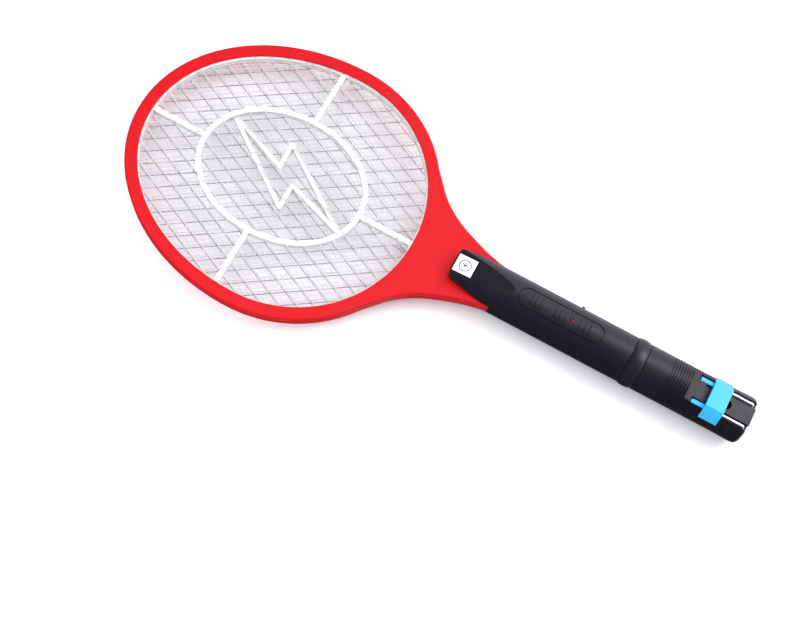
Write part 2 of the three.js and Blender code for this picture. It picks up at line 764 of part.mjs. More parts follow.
function transformerWinding() {
  const { x, halfLength, halfWidth, leg: wall, bulge } = core;
  const outer = halfLength - wall - gap;
  const wide = halfWidth + bulge;
  const inner = wall + gap;
  const hole = halfWidth + gap;
  const [low, high] = core.window;
  const body = block([x - outer, x + outer], [-wide, wide], [low + gap, high - gap]);
  return cut(body, block([x - inner, x + inner], [-hole, hole], [-reach, reach]));
}

function boxCapacitor({ x, y, height }) {
  const low = board.top + gap;
  const top = low + height;
  const { inset, height: edge } = capacitorEdge;
  const crown = block([x[0] + inset, x[1] - inset], [y[0] + inset, y[1] - inset], [low, top]);
  return join(block(x, y, [low, top - edge]), crown);
}

function transistorPiece() {
  const { x, y, radius, z, flat, legSpacing } = transistor;
  const side = block([x - reach, x + reach], [y + flat, y + reach], [0, reach]);
  const legs = [-legSpacing, 0, legSpacing].map((step) => leg(x + step, y, z[0] + 0.5));
  return join(cut(bar("z", z, [x, y], radius), side), ...legs);
}

// A round component with bent wires, lying along X on the board.
function axialPart({ x, y, radius, length }) {
  const z = board.top + 2 * gap + radius;
  const half = length / 2 + axialLegs;
  const legs = [x - half, x + half].map((end) => leg(end, y, z + wire));
  const across = block([x - half, x + half], [y - wire, y + wire], [z - wire, z + wire]);
  return join(bar("x", [x - length / 2, x + length / 2], [y, z], radius, 12), across, ...legs);
}

function batteryCell(side) {
  const y = side * cell.y;
  const end = cell.start + cell.length;
  const can = bar("x", [cell.start, end], [y, 0], cell.radius, 20);
  const nub = side > 0 ? [cell.start - cell.nubHeight, cell.start + 1] : [end - 1, end + cell.nubHeight];
  return join(can, bar("x", nub, [y, 0], cell.nub, 12));
}

// A spring tab at a cell's front end.
function cellTab(side) {
  const y = side * cell.y;
  const room = side > 0 ? cell.nubHeight : 0;
  const face = cell.start - room - gap;
  const { thickness, halfWidth, halfHeight } = tab;
  return block([face - thickness, face], [y - halfWidth, y + halfWidth], [-halfHeight, halfHeight]);
}

function cellLink() {
  const face = cell.start + cell.length + cell.nubHeight + gap;
  const wide = cell.y + tab.halfWidth;
  return block([face, face + tab.thickness], [-wide, wide], [-tab.halfHeight, tab.halfHeight]);
}

function screwPiece({ x, y, seat, tip }) {
  const low = seat - screw.headHeight;
  const crown = bar("z", [low, seat - gap], [x, y], screw.headRadius);
  const shank = bar("z", [seat - gap - 0.1, tip], [x, y], screw.shankRadius, 12);
  const [long, narrow] = screw.recess;
  const arms = [[long, narrow], [narrow, long]].map(([u, v]) =>
    block([x - u, x + u], [y - v, y + v], [low - 1, low + screw.recessDepth]),
  );
  return join(cut(crown, ...arms), shank);
}

// The assembly

const swatter = new THREE.Group();

function place(name, solid, color, roughness = 0.5, metalness = 0) {
  const material = new THREE.MeshStandardMaterial({ color, roughness, metalness });
  const mesh = new THREE.Mesh(geometryFrom(solid), material);
  mesh.name = name;
  swatter.add(mesh);
  return mesh;
}

// The same piece behind the middle plane.
function placeMirrored(...piece) {
  place(...piece).scale.set(1, 1, -1);
}

const frame = frameHalf();
place("front_frame", frame, colors.frame, 0.42);
placeMirrored("rear_frame", frame, colors.frame, 0.42);

const spacerSolid = spacerHalf();
place("front_spacer", spacerSolid, colors.spacer, 0.45);
placeMirrored("rear_spacer", spacerSolid, colors.spacer, 0.45);

const outerRange = [grid.outerLow, grid.outerHigh];
const outerGrid = wireGrid(grid.outerPitch, grid.outerWire, grid.outerAngles, outerRange, lead.outerY);
place("front_mesh", outerGrid, colors.wire, 0.3, 1);
placeMirrored("rear_mesh", outerGrid, colors.wire, 0.3, 1);
const centerRange = [-grid.centerHalf, grid.centerHalf];
const centerGrid = wireGrid(grid.centerPitch, grid.centerWire, grid.centerAngles, centerRange, lead.centerY);
place("center_mesh", centerGrid, colors.wire, 0.3, 1);
place("mesh_terminal", meshTerminal(), colors.brass, 0.3, 1);
place("outer_mesh_link", gridLink(), colors.brass, 0.3, 1);
place("outer_mesh_lead", gridLead(lead.outerY), colors.black, 0.5);
place("center_mesh_lead", gridLead(lead.centerY), colors.red, 0.5);

place("front_handle_shell", frontShell(), colors.shell, 0.45);
place("rear_handle_shell", rearShell(), colors.shell, 0.45);
place("collar_ring", collarRing(), colors.collar, 0.28);
place("tail_cap", tailCap(), colors.shell, 0.4);
place("label_plate", labelPlate(), colors.label, 0.6);

place("plug_slider", plugSlider(), colors.slider, 0.35);
place("plug_pin_left", plugPin(1), colors.brass, 0.22, 1);
place("plug_pin_right", plugPin(-1), colors.brass, 0.22, 1);
place("plug_contact_left", plugContact(1), colors.copper, 0.3, 1);
place("plug_contact_right", plugContact(-1), colors.copper, 0.3, 1);

for (const { name, x, top, color } of slideSwitches) {
  place(`${name}_body`, slideBody(x), colors.steel, 0.4, 0.8);
  place(`${name}_knob`, slideNub(x, top), color, 0.45);
}
place("trigger_button", triggerButton(), colors.slider, 0.4);
place("trigger_switch_body", triggerSwitchBody(), colors.black, 0.5);
place("indicator_led", indicatorLed(), colors.red, 0.2);

place("circuit_board", circuitBoard(), colors.board, 0.6);
place("transformer_core", transformerCore(), colors.ferrite, 0.7);
place("transformer_winding", transformerWinding(), colors.winding, 0.5);
for (const item of capacitors) place(item.name, boxCapacitor(item), colors.film, 0.35);
place("transistor", transistorPiece(), colors.black, 0.5);
for (const item of axialParts) place(item.name, axialPart(item), item.color, 0.45);

place("cell_left", batteryCell(1), colors.cell, 0.4);
place("cell_right", batteryCell(-1), colors.cell, 0.4);
place("cell_tab_positive", cellTab(1), colors.steel, 0.3, 1);
place("cell_tab_negative", cellTab(-1), colors.steel, 0.3, 1);
place("cell_link", cellLink(), colors.steel, 0.3, 1);

handleScrews.forEach((where, i) => place(`handle_screw_${i + 1}`, screwPiece(where), colors.steel, 0.3, 1));
neckScrews.forEach((where, i) => place(`neck_screw_${i + 1}`, screwPiece(where), colors.steel, 0.3, 1));

// The row's frame: the middle of the length at x = 0, and the collar's underside at z = 0.
const frontEnd = -(head.openX + head.band);
swatter.position.set(-(frontEnd + handle.end) / 2, 0, handle.radius + collar.proud);

export default new THREE.Group().add(swatter);
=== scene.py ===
import bpy
import json
import math
from mathutils import Matrix, Vector, noise


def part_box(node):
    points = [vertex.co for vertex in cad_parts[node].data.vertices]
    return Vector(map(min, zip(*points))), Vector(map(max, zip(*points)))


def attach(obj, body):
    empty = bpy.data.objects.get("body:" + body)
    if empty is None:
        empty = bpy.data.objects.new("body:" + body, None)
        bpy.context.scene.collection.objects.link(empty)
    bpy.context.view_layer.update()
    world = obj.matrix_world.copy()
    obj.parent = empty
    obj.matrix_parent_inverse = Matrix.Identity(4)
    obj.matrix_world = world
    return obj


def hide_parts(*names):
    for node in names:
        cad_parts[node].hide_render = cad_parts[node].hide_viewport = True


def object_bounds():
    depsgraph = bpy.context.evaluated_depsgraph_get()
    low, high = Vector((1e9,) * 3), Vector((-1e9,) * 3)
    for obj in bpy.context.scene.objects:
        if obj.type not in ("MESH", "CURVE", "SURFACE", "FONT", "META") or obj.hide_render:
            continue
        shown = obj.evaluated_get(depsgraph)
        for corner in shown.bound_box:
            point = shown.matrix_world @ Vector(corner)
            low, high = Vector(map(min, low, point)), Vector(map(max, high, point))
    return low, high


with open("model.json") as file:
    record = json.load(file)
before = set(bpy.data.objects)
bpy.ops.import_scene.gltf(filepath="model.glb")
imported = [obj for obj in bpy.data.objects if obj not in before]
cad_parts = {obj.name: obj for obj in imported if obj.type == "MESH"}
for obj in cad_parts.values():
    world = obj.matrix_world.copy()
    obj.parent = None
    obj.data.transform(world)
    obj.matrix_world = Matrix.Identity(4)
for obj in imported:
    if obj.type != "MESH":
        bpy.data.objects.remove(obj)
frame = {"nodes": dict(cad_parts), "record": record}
cadLow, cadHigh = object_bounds()
print("frame loaded,", len(frame["nodes"]), "nodes")

# The middle of the head and the handle's axis, from the frame.
spacerLow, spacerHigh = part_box("front_spacer")
collarLow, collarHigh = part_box("collar_ring")
headX = (spacerLow.x + spacerHigh.x) / 2
axisZ = (collarLow.z + collarHigh.z) / 2


def at(x, y, z):  # millimetres from the middle of the head, in the frame's metres
    return Vector((headX + x / 1000, y / 1000, axisZ + z / 1000))


def span(node, axis):  # where a CAD node starts and ends, in millimetres from the middle of the head
    low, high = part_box(node)
    zero = at(0, 0, 0)
    return (low[axis] - zero[axis]) * 1000, (high[axis] - zero[axis]) * 1000


def deselect():
    if bpy.context.object and bpy.context.object.mode != "OBJECT":
        bpy.ops.object.mode_set(mode="OBJECT")
    bpy.ops.object.select_all(action="DESELECT")


def use(piece):
    deselect()
    piece.select_set(True)
    bpy.context.view_layer.objects.active = piece


def edit(piece, kind="VERT"):
    use(piece)
    bpy.ops.object.mode_set(mode="EDIT")
    bpy.ops.mesh.select_mode(type=kind)


def done():
    bpy.ops.object.mode_set(mode="OBJECT")


def editAll(piece):  # edit mode with the whole piece selected
    edit(piece)
    bpy.ops.mesh.select_all(action="SELECT")


def choose(piece, kind, wanted):  # edit mode with only these edges or faces selected
    edit(piece, kind)
    bpy.ops.mesh.select_all(action="DESELECT")
    done()
    parts = piece.data.edges if kind == "EDGE" else piece.data.polygons
    for index in wanted:
        parts[index].select = True
    edit(piece, kind)


def recalculate(piece, merge=2e-7):  # doubles merged, loose bits gone and faces turned outwards
    editAll(piece)
    bpy.ops.mesh.remove_doubles(threshold=merge)
    bpy.ops.mesh.dissolve_degenerate(threshold=merge)
    bpy.ops.mesh.delete_loose(use_verts=True, use_edges=True, use_faces=False)
    bpy.ops.mesh.select_all(action="SELECT")
    bpy.ops.mesh.normals_make_consistent(inside=False)
    done()
    return piece


def loft(name, rings):  # a filled ring, pulled out from one outline to the next
    deselect()
    bpy.ops.mesh.primitive_circle_add(vertices=len(rings[0]), radius=0.01, fill_type="NGON")
    piece = bpy.context.object
    piece.name = name
    for vertex, point in zip(piece.data.vertices, rings[0]):
        vertex.co = at(*point)
    before = {tuple(vertex.co): vertex.index for vertex in piece.data.vertices}
    for ring in rings[1:]:
        edit(piece, "FACE")
        bpy.ops.mesh.extrude_region_move()
        done()
        placed = {}
        for vertex in piece.data.vertices:
            if vertex.select:
                corner = before[tuple(vertex.co)]
                vertex.co = at(*ring[corner])
                placed[tuple(vertex.co)] = corner
        before = placed
    return recalculate(piece)


def plate(name, outline, low, high):
    return loft(name, [[(x, y, z) for x, y in outline] for z in (low, high)])


def sidePlate(name, outline, low, high):  # an outline in X and Z, pulled along Y
    return loft(name, [[(x, y, z) for x, z in outline] for y in (low, high)])


def crossPlate(name, outline, low, high):  # an outline in Y and Z, pulled along X
    return loft(name, [[(x, y, z) for y, z in outline] for x in (low, high)])


def box(name, x, y, z):
    return plate(name, [(x[0], y[0]), (x[1], y[0]), (x[1], y[1]), (x[0], y[1])], *z)


def rod(name, low, high, radius, sides=32):  # a round bar between two points
    start, end = at(*low), at(*high)
    along = end - start
    deselect()
    bpy.ops.mesh.primitive_cylinder_add(
        vertices=sides, radius=radius / 1000, depth=along.length, location=(start + end) / 2,
        rotation=along.to_track_quat("Z", "Y").to_euler())
    piece = bpy.context.object
    piece.name = name
    bpy.ops.object.transform_apply()
    return piece


def turned(name, points, steps, center, axis):  # a closed outline spun all the way round a line
    deselect()
    bpy.ops.mesh.primitive_circle_add(vertices=len(points), radius=0.01, fill_type="NOTHING")
    piece = bpy.context.object
    piece.name = name
    for vertex, point in zip(piece.data.vertices, points):
        vertex.co = at(*point)
    editAll(piece)
    bpy.ops.mesh.spin(steps=steps, angle=2 * math.pi, center=at(*center), axis=axis)
    done()
    return recalculate(piece)


def spun(name, profile, steps=128, y=0, z=0):  # a profile of (x, radius) turned about a line along X
    return turned(name, [(x, y, z + radius) for x, radius in profile], steps, (0, y, z), (1, 0, 0))


def spunUp(name, profile, x, y, steps=48):  # a profile of (height, radius) turned about a vertical line
    return turned(name, [(x + radius, y, height) for height, radius in profile], steps, (x, y, 0), (0, 0, 1))


def combine(piece, other, how="DIFFERENCE"):
    use(piece)
    modifier = piece.modifiers.new("combine", "BOOLEAN")
    modifier.operation = how
    modifier.object = other
    modifier.solver = "EXACT"
    bpy.ops.object.modifier_apply(modifier=modifier.name)
    bpy.data.objects.remove(other, do_unlink=True)
    return recalculate(piece, 2e-6)


def cut(piece, *others):
    for other in others:
        combine(piece, other)
    return piece


def weld(piece, *others):
    for other in others:
        combine(piece, other, "UNION")
    return piece


def copyOf(piece, name):
    use(piece)
    bpy.ops.object.duplicate()
    copy = bpy.context.object
    copy.name = name
    return copy


def mirrored(piece, name):  # the same piece on the other side of the axis
    copy = copyOf(piece, name)
    editAll(copy)
    bpy.ops.transform.resize(value=(1, 1, -1), center_override=at(0, 0, 0))
    done()
    return recalculate(copy)


def roundEdges(piece, width, segments=3, sharpness=28, where=lambda point: True):
    choose(piece, "EDGE", [])
    bpy.ops.mesh.edges_select_sharp(sharpness=math.radians(sharpness))
    done()
    zero = at(0, 0, 0)
    vertices = piece.data.vertices
    wanted = []
    for edge in piece.data.edges:
        middle = (vertices[edge.vertices[0]].co + vertices[edge.vertices[1]].co) / 2 - zero
        if edge.select and where(middle * 1000):
            wanted.append(edge.index)
    choose(piece, "EDGE", wanted)
    bpy.ops.mesh.bevel(
        offset=width / 1000, segments=segments, profile=0.5, affect="EDGES", clamp_overlap=True)
    done()
    return recalculate(piece, 2e-5)


def finishPiece(piece, name, material, nodes, body="swatter_body", angle=32):
    piece.name = name
    piece.data.name = name
    use(piece)
    bpy.ops.object.transform_apply()
    bpy.ops.object.shade_smooth_by_angle(angle=math.radians(angle))
    modifier = piece.modifiers.new("flatFaces", "WEIGHTED_NORMAL")
    modifier.keep_sharp = True
    bpy.ops.object.modifier_apply(modifier=modifier.name)
    piece.data.materials.clear()
    piece.data.materials.append(material)
    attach(piece, body)
    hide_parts(*nodes)
    return piece


def smoothCurve(points, steps):  # a curve through all the points
    ends = [points[0], *points, points[-1]]
    made = []
    for i in range(len(points) - 1):
        a, b, c, d = (Vector(p) for p in ends[i:i + 4])
        for step in range(steps):
            t = step / steps
            made.append(tuple(0.5 * (2 * b + (c - a) * t + (2 * a - 5 * b + 4 * c - d) * t ** 2
                                     + (3 * b - a - 3 * c + d) * t ** 3)))
    return made + [tuple(points[-1])]


def facesTowards(piece, facing, tolerance=1.0):
    aim = Vector(facing)
    return [face.index for face in piece.data.polygons if face.normal.angle(aim, 9) < math.radians(tolerance)]


def creaseAround(piece, facing):  # the border of the faces that look one way stays crisp
    choose(piece, "FACE", facesTowards(piece, facing))
    bpy.ops.mesh.region_to_loop()
    bpy.ops.mesh.mark_sharp()
    done()


def shifted(piece, name, x, y=0, z=0):  # a copy that far away
    copy = copyOf(piece, name)
    editAll(copy)
    bpy.ops.transform.translate(value=(x / 1000, y / 1000, z / 1000))
    done()
    return copy


def joined(piece, *others):
    use(piece)
    for other in others:
        other.select_set(True)
    bpy.ops.object.join()
    return piece


def arcPoints(x, y, radius, start, end, steps):
    angles = [math.radians(start + (end - start) * i / steps) for i in range(steps + 1)]
    return [(x + radius * math.cos(a), y + radius * math.sin(a)) for a in angles]


def node(tree, kind, values=None, **settings):
    made = tree.nodes.new(kind)
    for key, value in settings.items():
        setattr(made, key, value)
    for key, value in (values or {}).items():
        made.inputs[key].default_value = value
    return made


def feed(tree, value, socket):  # a link, or a plain value set on the socket
    if hasattr(value, "links"):
        tree.links.new(value, socket)
    else:
        socket.default_value = value


def calc(tree, operation, *values):
    made = node(tree, "ShaderNodeMath", operation=operation)
    for value, socket in zip(values, made.inputs):
        feed(tree, value, socket)
    return made.outputs[0]


def ramp(tree, source, low, high, start=0.0, end=1.0):
    made = node(tree, "ShaderNodeMapRange", {
        "From Min": low, "From Max": high, "To Min": start, "To Max": end})
    tree.links.new(source, made.inputs["Value"])
    return made.outputs["Result"]


def blended(tree, factor, first, second):  # one colour over another, by a mask
    mix = node(tree, "ShaderNodeMix", data_type="RGBA")
    tree.links.new(factor, mix.inputs["Factor"])
    feed(tree, first, mix.inputs["A"])
    feed(tree, second, mix.inputs["B"])
    return mix.outputs["Result"]


def objectPlace(tree):
    return node(tree, "ShaderNodeTexCoord").outputs["Object"]


def pattern(tree, kind, values=None, **settings):  # a texture that stays with its piece
    made = node(tree, kind, values, **settings)
    tree.links.new(objectPlace(tree), made.inputs["Vector"])
    return made


cameraValues = {
    "place": (0.0681, -0.3389, 0.9189),
    "right": (0.87935, 0.46977, 0.07782),
    "up": (-0.46956, 0.82835, 0.30554),
    "lens": 56.25,
}
camera = bpy.data.cameras.new("camera")
camera.lens = cameraValues["lens"]
camera.sensor_width = 36
cameraObject = bpy.data.objects.new("camera", camera)
bpy.context.scene.collection.objects.link(cameraObject)
right, up = Vector(cameraValues["right"]), Vector(cameraValues["up"])
turn = Matrix((right, up, right.cross(up))).transposed().to_4x4()
cameraObject.matrix_world = Matrix.Translation(cameraValues["place"]) @ turn
bpy.context.scene.camera = cameraObject


def softbox(name, place, aim, size, power, glossy=True):
    light = bpy.data.lights.new(name, "AREA")
    light.shape = "RECTANGLE"
    light.size, light.size_y = size, size
    light.energy = power
    lamp = bpy.data.objects.new(name, light)
    bpy.context.scene.collection.objects.link(lamp)
    lamp.location = place
    lamp.rotation_euler = (Vector(aim) - Vector(place)).to_track_quat("-Z", "Y").to_euler()
    lamp.visible_glossy = glossy


softbox("key", (0.85, 0.75, 1.3), (0.05, 0, 0), 1.0, 14)
softbox("overhead", (-0.3, -0.1, 1.7), (0, 0, 0), 1.8, 24, glossy=False)
softbox("fill", (-0.6, -1.1, 1.2), (0, 0, 0), 1.6, 18, glossy=False)

skyValues = {  # brighter behind the swatter and to its right
    "sideways": 1.1, "from": (0.05, 0.9), "strength": (0.06, 1.3),
    "backdrop": 0.85, "color": (0.93, 0.9, 1.0, 1),
}
world = bpy.data.worlds.new("studio")
bpy.context.scene.world = world
world.use_nodes = True
sky = world.node_tree
direction = node(sky, "ShaderNodeSeparateXYZ")
sky.links.new(node(sky, "ShaderNodeTexCoord").outputs["Generated"], direction.inputs[0])
towards = calc(sky, "MULTIPLY_ADD", direction.outputs["X"], skyValues["sideways"], direction.outputs["Y"])
# The camera itself sees a plain pale backdrop.
seen = node(sky, "ShaderNodeMix", {"B": skyValues["backdrop"]})
sky.links.new(node(sky, "ShaderNodeLightPath").outputs["Is Camera Ray"], seen.inputs["Factor"])
sky.links.new(ramp(sky, towards, *skyValues["from"], *skyValues["strength"]), seen.inputs["A"])
sky.links.new(seen.outputs["Result"], sky.nodes["Background"].inputs["Strength"])
sky.nodes["Background"].inputs["Color"].default_value = skyValues["color"]
bpy.context.scene.view_settings.view_transform = "Standard"
print("camera and light made")


def newGroup(name, inputs):
    tree = bpy.data.node_groups.new(name, "ShaderNodeTree")
    for socket, value in inputs.items():
        kind = "NodeSocketColor" if isinstance(value, tuple) else "NodeSocketFloat"
        tree.interface.new_socket(socket, in_out="INPUT", socket_type=kind).default_value = value
    for socket, kind in (("Color", "Color"), ("Roughness", "Float"), ("Height", "Float")):
        tree.interface.new_socket(socket, in_out="OUTPUT", socket_type="NodeSocket" + kind)
    return tree, tree.nodes.new("NodeGroupInput").outputs, tree.nodes.new("NodeGroupOutput").inputs


def moulding():  # fine grain, slow flow marks and smudges of a moulded plastic
    tree, given, out = newGroup("mouldedSurface", {
        "Grain Scale": 1400.0, "Grain": 1.0, "Smudge": 0.5, "Roughness": 0.4,
        "Tint": (1, 1, 1, 1), "Shade": (0.8, 0.8, 0.8, 1)})
    grain = pattern(tree, "ShaderNodeTexNoise", {"Detail": 3.0, "Roughness": 0.62})
    pits = pattern(tree, "ShaderNodeTexVoronoi", feature="F1")
    flow = pattern(tree, "ShaderNodeTexNoise", {"Scale": 11.0, "Detail": 2.0, "Distortion": 0.6})
    smear = pattern(tree, "ShaderNodeTexNoise", {
        "Scale": 46.0, "Detail": 5.0, "Roughness": 0.7, "Distortion": 1.4})
    feed(tree, given["Grain Scale"], grain.inputs["Scale"])
    feed(tree, calc(tree, "MULTIPLY", given["Grain Scale"], 0.8), pits.inputs["Scale"])
    height = calc(tree, "ADD", calc(tree, "MULTIPLY", grain.outputs["Fac"], 0.6),
                  calc(tree, "MULTIPLY", pits.outputs["Distance"], 0.4))
    feed(tree, calc(tree, "MULTIPLY", height, given["Grain"]), out["Height"])
    speckle = ramp(tree, grain.outputs["Fac"], 0.3, 0.7)
    cloud = ramp(tree, flow.outputs["Fac"], 0.35, 0.65)
    amount = calc(tree, "MULTIPLY_ADD", speckle, 0.45, calc(tree, "MULTIPLY", cloud, 0.3))
    feed(tree, blended(tree, amount, given["Tint"], given["Shade"]), out["Color"])
    smudge = calc(tree, "MULTIPLY", ramp(tree, smear.outputs["Fac"], 0.4, 0.72), given["Smudge"])
    worn = calc(tree, "MULTIPLY_ADD", smudge, 0.18, given["Roughness"])
    feed(tree, calc(tree, "MULTIPLY_ADD", speckle, 0.06, worn), out["Roughness"])
    return tree


def drawnMetal():  # streaks and fine pits of drawn, rolled or plated metal
    tree, given, out = newGroup("drawnMetal", {
        "Scale": 300.0, "Streak": 0.3, "Roughness": 0.25, "Age": 0.2,
        "Tint": (1, 1, 1, 1), "Tarnish": (0.5, 0.45, 0.4, 1)})
    fine = pattern(tree, "ShaderNodeTexNoise", {"Detail": 4.0, "Roughness": 0.6})
    spots = pattern(tree, "ShaderNodeTexNoise", {"Scale": 90.0, "Detail": 6.0, "Roughness": 0.75})
    feed(tree, given["Scale"], fine.inputs["Scale"])
    stain = calc(tree, "MULTIPLY", ramp(tree, spots.outputs["Fac"], 0.45, 0.75), given["Age"])
    feed(tree, blended(tree, stain, given["Tint"], given["Tarnish"]), out["Color"])
    streak = calc(tree, "MULTIPLY", fine.outputs["Fac"], given["Streak"])
    dull = calc(tree, "MULTIPLY_ADD", stain, 0.3, streak)
    feed(tree, calc(tree, "ADD", dull, given["Roughness"]), out["Roughness"])
    feed(tree, streak, out["Height"])
    return tree


mouldedTree = moulding()
metalTree = drawnMetal()


def startMaterial(name, constants):
    made = bpy.data.materials.new(name)
    made.use_nodes = True
    for socket, value in constants.items():
        made.node_tree.nodes["Principled BSDF"].inputs[socket].default_value = value
    return made


def surfaced(name, constants, group, values, bump, depth):  # a material whose surface comes from a group
    made = startMaterial(name, constants)
    tree, shader = made.node_tree, made.node_tree.nodes["Principled BSDF"]
    surface = node(tree, "ShaderNodeGroup", values, node_tree=group).outputs
    relief = node(tree, "ShaderNodeBump", {"Strength": bump, "Distance": depth})
    feed(tree, surface["Color"], shader.inputs["Base Color"])
    feed(tree, surface["Roughness"], shader.inputs["Roughness"])
    feed(tree, surface["Height"], relief.inputs["Height"])
    feed(tree, relief.outputs["Normal"], shader.inputs["Normal"])
    return made


def plastic(name, tint, shade, roughness, grain=1.0, grainScale=1400.0, smudge=0.5, bump=0.25, **constants):
    values = {"Tint": (*tint, 1), "Shade": (*shade, 1), "Roughness": roughness,
              "Grain": grain, "Grain Scale": grainScale, "Smudge": smudge}
    return surfaced(name, {"IOR": 1.5, **constants}, mouldedTree, values, bump, depth=0.0002)


def metal(name, tint, tarnish, roughness, streak=0.12, scale=300.0, age=0.2, **constants):
    values = {"Tint": (*tint, 1), "Tarnish": (*tarnish, 1), "Roughness": roughness,
              "Streak": streak, "Scale": scale, "Age": age}
    return surfaced(name, {"Metallic": 1.0, **constants}, metalTree, values, bump=0.1, depth=0.0001)


redFrame = plastic("redFrame", (0.59, 0.003, 0.009), (0.5, 0.002, 0.006), 0.38,
                   grainScale=1500.0, bump=0.35, **{"Specular IOR Level": 0.25})
whiteSpacer = plastic("whiteSpacer", (0.9, 0.9, 0.88), (0.8, 0.8, 0.78), 0.38, grain=0.5, bump=0.15)
blackShell = plastic("blackShell", (0.010, 0.009, 0.015), (0.006, 0.0055, 0.0095), 0.33,
                     grainScale=1800.0, bump=0.2)
# painted shade: a darker copy of blackShell's colour for the sloping facet, standing in for the shade it lies
# in; it is also rougher
blackFacetPaintedShade = plastic("blackFacetPaintedShade", (0.0055, 0.005, 0.009), (0.004, 0.0037, 0.0065), 0.5,
                     grainScale=1800.0, bump=0.2, **{"Specular IOR Level": 0.25})
blackCollar = plastic("blackCollar", (0.012, 0.011, 0.017), (0.008, 0.0075, 0.011), 0.36, 0.2,
                      smudge=0.1, bump=0.03)
bluePlastic = plastic("bluePlastic", (0.045, 0.5, 0.98), (0.025, 0.43, 0.93), 0.3, grain=0.4, bump=0.12, **{
    "Subsurface Weight": 0.35, "Subsurface Radius": (0.1, 0.7, 1.6), "Subsurface Scale": 0.004})
blackKnob = plastic("blackKnob", (0.012, 0.012, 0.014), (0.02, 0.02, 0.022), 0.38)
redKnob = plastic("redKnob", (0.6, 0.03, 0.045), (0.42, 0.02, 0.03), 0.36)
labelPaper = plastic("labelPaper", (0.93, 0.93, 0.92), (0.86, 0.87, 0.88), 0.5, 0.4,
                     grainScale=2600.0, bump=0.1)
navyInk = plastic("navyInk", (0.03, 0.05, 0.16), (0.05, 0.08, 0.22), 0.45, grain=0.3)
ledLens = plastic("ledLens", (0.24, 0.007, 0.009), (0.16, 0.004, 0.006), 0.14, grain=0.1, bump=0.05,
                  **{"Transmission Weight": 0.35, "Coat Weight": 0.4})
blackSleeve = plastic("blackSleeve", (0.02, 0.02, 0.02), (0.035, 0.035, 0.035), 0.42, grain=0.4)
redSleeve = plastic("redSleeve", (0.55, 0.02, 0.02), (0.4, 0.015, 0.015), 0.4, grain=0.4)
blackEpoxy = plastic("blackEpoxy", (0.025, 0.025, 0.027), (0.014, 0.014, 0.015), 0.5,
                     grainScale=5200.0, bump=0.4)
greyFerrite = plastic("greyFerrite", (0.06, 0.06, 0.065), (0.03, 0.03, 0.033), 0.55, 1.4,
                      grainScale=3800.0, bump=0.6)
dippedFilm = plastic("dippedFilm", (0.42, 0.045, 0.03), (0.3, 0.03, 0.02), 0.2, 0.5,
                     bump=0.2, **{"Coat Weight": 0.5})
# painted light and shade: one wire steel, as a lit copy for the front and centre grids and a shaded copy for
# the rear grid
litWire = metal("litWire", (0.82, 0.82, 0.84), (0.62, 0.6, 0.6), 0.32, age=0.15, **{"Metallic": 0.45})
shadedWire = metal("shadedWire", (0.5, 0.5, 0.52), (0.34, 0.33, 0.32), 0.28, age=0.2, **{"Metallic": 0.8})
nickelPin = metal("nickelPin", (0.9, 0.9, 0.89), (0.66, 0.64, 0.6), 0.16, streak=0.08)
tinnedTerminal = metal("tinnedTerminal", (0.8, 0.8, 0.82), (0.5, 0.5, 0.5), 0.24)
springBronze = metal("springBronze", (0.82, 0.62, 0.36), (0.5, 0.34, 0.2), 0.26, scale=420.0, age=0.3)
switchCan = metal("switchCan", (0.7, 0.71, 0.72), (0.42, 0.41, 0.4), 0.3, scale=520.0)
zincScrew = metal("zincScrew", (0.6, 0.61, 0.63), (0.36, 0.35, 0.32), 0.28)


def paintedOver(made, factor, color):  # another colour over the material's own
    tree = made.node_tree
    base = tree.nodes["Principled BSDF"].inputs["Base Color"]
    feed(tree, blended(tree, factor, base.links[0].from_socket, color), base)
    return made


def banded(made, low, high, stops):  # plain bands of colour along X across a finished material
    tree = made.node_tree
    bands = tree.nodes.new("ShaderNodeValToRGB")
    bands.color_ramp.interpolation = "CONSTANT"
    for place, color, alpha in stops:
        stop = bands.color_ramp.elements.new(place)
        stop.color = (*color, alpha)
    bands.color_ramp.elements.remove(bands.color_ramp.elements[0])
    split = node(tree, "ShaderNodeSeparateXYZ")
    feed(tree, objectPlace(tree), split.inputs[0])
    feed(tree, ramp(tree, split.outputs["X"], low.x, high.x), bands.inputs["Fac"])
    return paintedOver(made, bands.outputs["Alpha"], bands.outputs["Color"])


def resistorBody():  # tan lacquer with four colour bands
    made = plastic("resistorBody", (0.62, 0.42, 0.24), (0.5, 0.32, 0.17), 0.3, grain=0.5)
    low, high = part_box("charging_resistor")
    plain = (0.6, 0.4, 0.2)
    colors = [(0.32, 0.12, 0.03), (0.01, 0.01, 0.01), (0.8, 0.5, 0.02), (0.75, 0.55, 0.2)]
    stops = [(0.0, plain, 0)]
    for i, color in enumerate(colors):
        start = 0.34 + 0.09 * i
        stops += [(start, color, 1), (start + 0.04, plain, 0)]
    return banded(made, low, high, stops)


def cellWrap():  # green shrink sleeve, open at the metal ends
    made = plastic("cellWrap", (0.045, 0.3, 0.1), (0.03, 0.24, 0.075), 0.22, grain=0.4, bump=0.15)
    low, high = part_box("cell_left")
    steel = (0.66, 0.66, 0.65)
    ends = 0.03
    return banded(made, low, high, [(0.0, steel, 1), (ends, (0.9, 0.9, 0.9), 0), (1 - ends, steel, 1)])


def solderMask():  # green lacquer over copper tracks
    made = plastic("solderMask", (0.012, 0.16, 0.05), (0.008, 0.12, 0.035), 0.3, grain=0.3)
    tracks = pattern(made.node_tree, "ShaderNodeTexBrick", {
        "Scale": 330.0, "Mortar Size": 0.09, "Bias": -0.4})
    return paintedOver(made, tracks.outputs["Fac"], (0.06, 0.34, 0.09, 1))


